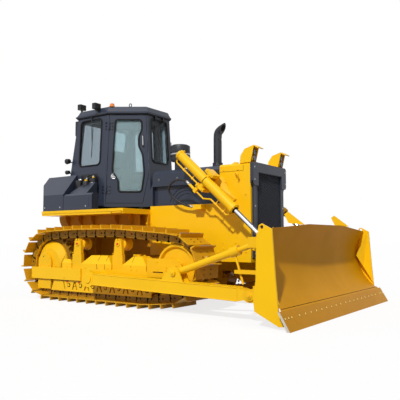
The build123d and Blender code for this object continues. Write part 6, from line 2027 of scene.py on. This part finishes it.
# ---------------------------------------------------------------- stage
@dataclass
class Stage:
    """The camera, the lamps and the pale floor."""

    camera_place: tuple[float, float, float] = (5.0346, -6.7306, 0.9694)
    yaw: float = 35.48
    pitch: float = 4.05
    roll: float = -0.09
    lens: float = 48.16
    floor_size: float = 90.0
    key: float = 2.85
    key_from: tuple[float, float, float] = (0.27, -1.12, 1.05)
    fill: float = 0.1
    fill_from: tuple[float, float, float] = (1.0, -0.5, 0.35)
    sky: float = 0.34
    floor_bounce: float = 0.42
    floor_glow: float = 0.78
    floor_drop: float = 0.0005

    def build(self) -> None:
        """Places the camera, the lamps, the world and the floor."""
        self._camera()
        self._lamp("key", self.key, self.key_from, 2.5)
        self._lamp("fill", self.fill, self.fill_from, 50)
        self._world()
        self._floor()
        bpy.context.scene.view_settings.view_transform = "Standard"

    def _camera(self) -> None:
        """Places the camera at its viewing angle."""
        data = bpy.data.cameras.new("camera")
        data.lens = self.lens
        data.sensor_width = 36.0
        yaw, pitch = math.radians(self.yaw), math.radians(self.pitch)
        look = Vector((-math.sin(yaw) * math.cos(pitch), math.cos(yaw) * math.cos(pitch), math.sin(pitch)))
        turn = look.to_track_quat("-Z", "Y").to_matrix().to_4x4()
        camera = bpy.data.objects.new("camera", data)
        roll = Matrix.Rotation(math.radians(self.roll), 4, "Z")
        camera.matrix_world = Matrix.Translation(Vector(self.camera_place)) @ turn @ roll
        bpy.context.scene.collection.objects.link(camera)
        bpy.context.scene.camera = camera

    @staticmethod
    def _lamp(name: str, strength: float, source: tuple[float, float, float], softness: float) -> None:
        """Hangs a sun lamp.

        Args:
            name: the lamp's name.
            strength: its strength.
            source: the direction that its light comes from.
            softness: the angle that it spans in degrees.
        """
        data = bpy.data.lights.new(name, "SUN")
        data.energy = strength
        data.angle = math.radians(softness)
        lamp = bpy.data.objects.new(name, data)
        lamp.matrix_world = Vector(source).to_track_quat("Z", "Y").to_matrix().to_4x4()
        bpy.context.scene.collection.objects.link(lamp)

    def _world(self) -> None:
        """Makes the white surroundings, which light the machine at a plain level."""
        world = bpy.data.worlds.new("surroundings")
        bpy.context.scene.world = world
        world.use_nodes = True
        shading = Shading(world.node_tree)
        level = shading.add("MapRange", {"Value": shading.seen(), "To Min": self.sky, "To Max": 1.0})
        shading.feed(shading.nodes["Background"], {"Color": WHITE, "Strength": level.outputs["Result"]})

    def _floor(self) -> None:
        """Lays the pale floor."""
        blank = Blank()
        bmesh.ops.create_grid(blank.mesh, x_segments=1, y_segments=1, size=self.floor_size)
        bmesh.ops.translate(blank.mesh, vec=(0, 0, -self.floor_drop), verts=blank.mesh.verts[:])
        data = bpy.data.meshes.new("floor")
        blank.mesh.to_mesh(data)
        blank.mesh.free()
        material = bpy.data.materials.new("pale_floor")
        material.use_nodes = True
        shading = Shading(material.node_tree)
        shader = shading.nodes["Principled BSDF"]
        tone = shading.mixed(shading.seen(), (*[self.floor_bounce] * 3, 1), WHITE)
        shading.feed(shader, {"Base Color": tone, "Roughness": 0.9, "Specular IOR Level": 0.0})
        glow = shading.add("Emission", {"Color": WHITE})
        share = shading.maths("MULTIPLY", shading.seen(), self.floor_glow)
        mix = shading.add("MixShader", {0: share, 1: shader.outputs["BSDF"], 2: glow.outputs["Emission"]})
        shading.feed(shading.nodes["Material Output"], {"Surface": mix.outputs["Shader"]})
        data.materials.append(material)
        floor = bpy.data.objects.new("floor", data)
        bpy.context.scene.collection.objects.link(floor)


def main() -> None:
    """Dresses the frame, piece by piece, and logs each new piece's face count."""
    logging.basicConfig(level=logging.INFO)
    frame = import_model()
    Stage().build()
    NodeFinishes().build(frame)
    for assembly in (Tracks(), TrackFrames(), Hull(), Front(), Cab(), Seat(), LiftGear(), Arms(), Blade()):
        assembly.build()


if __name__ == "__main__":
    main()
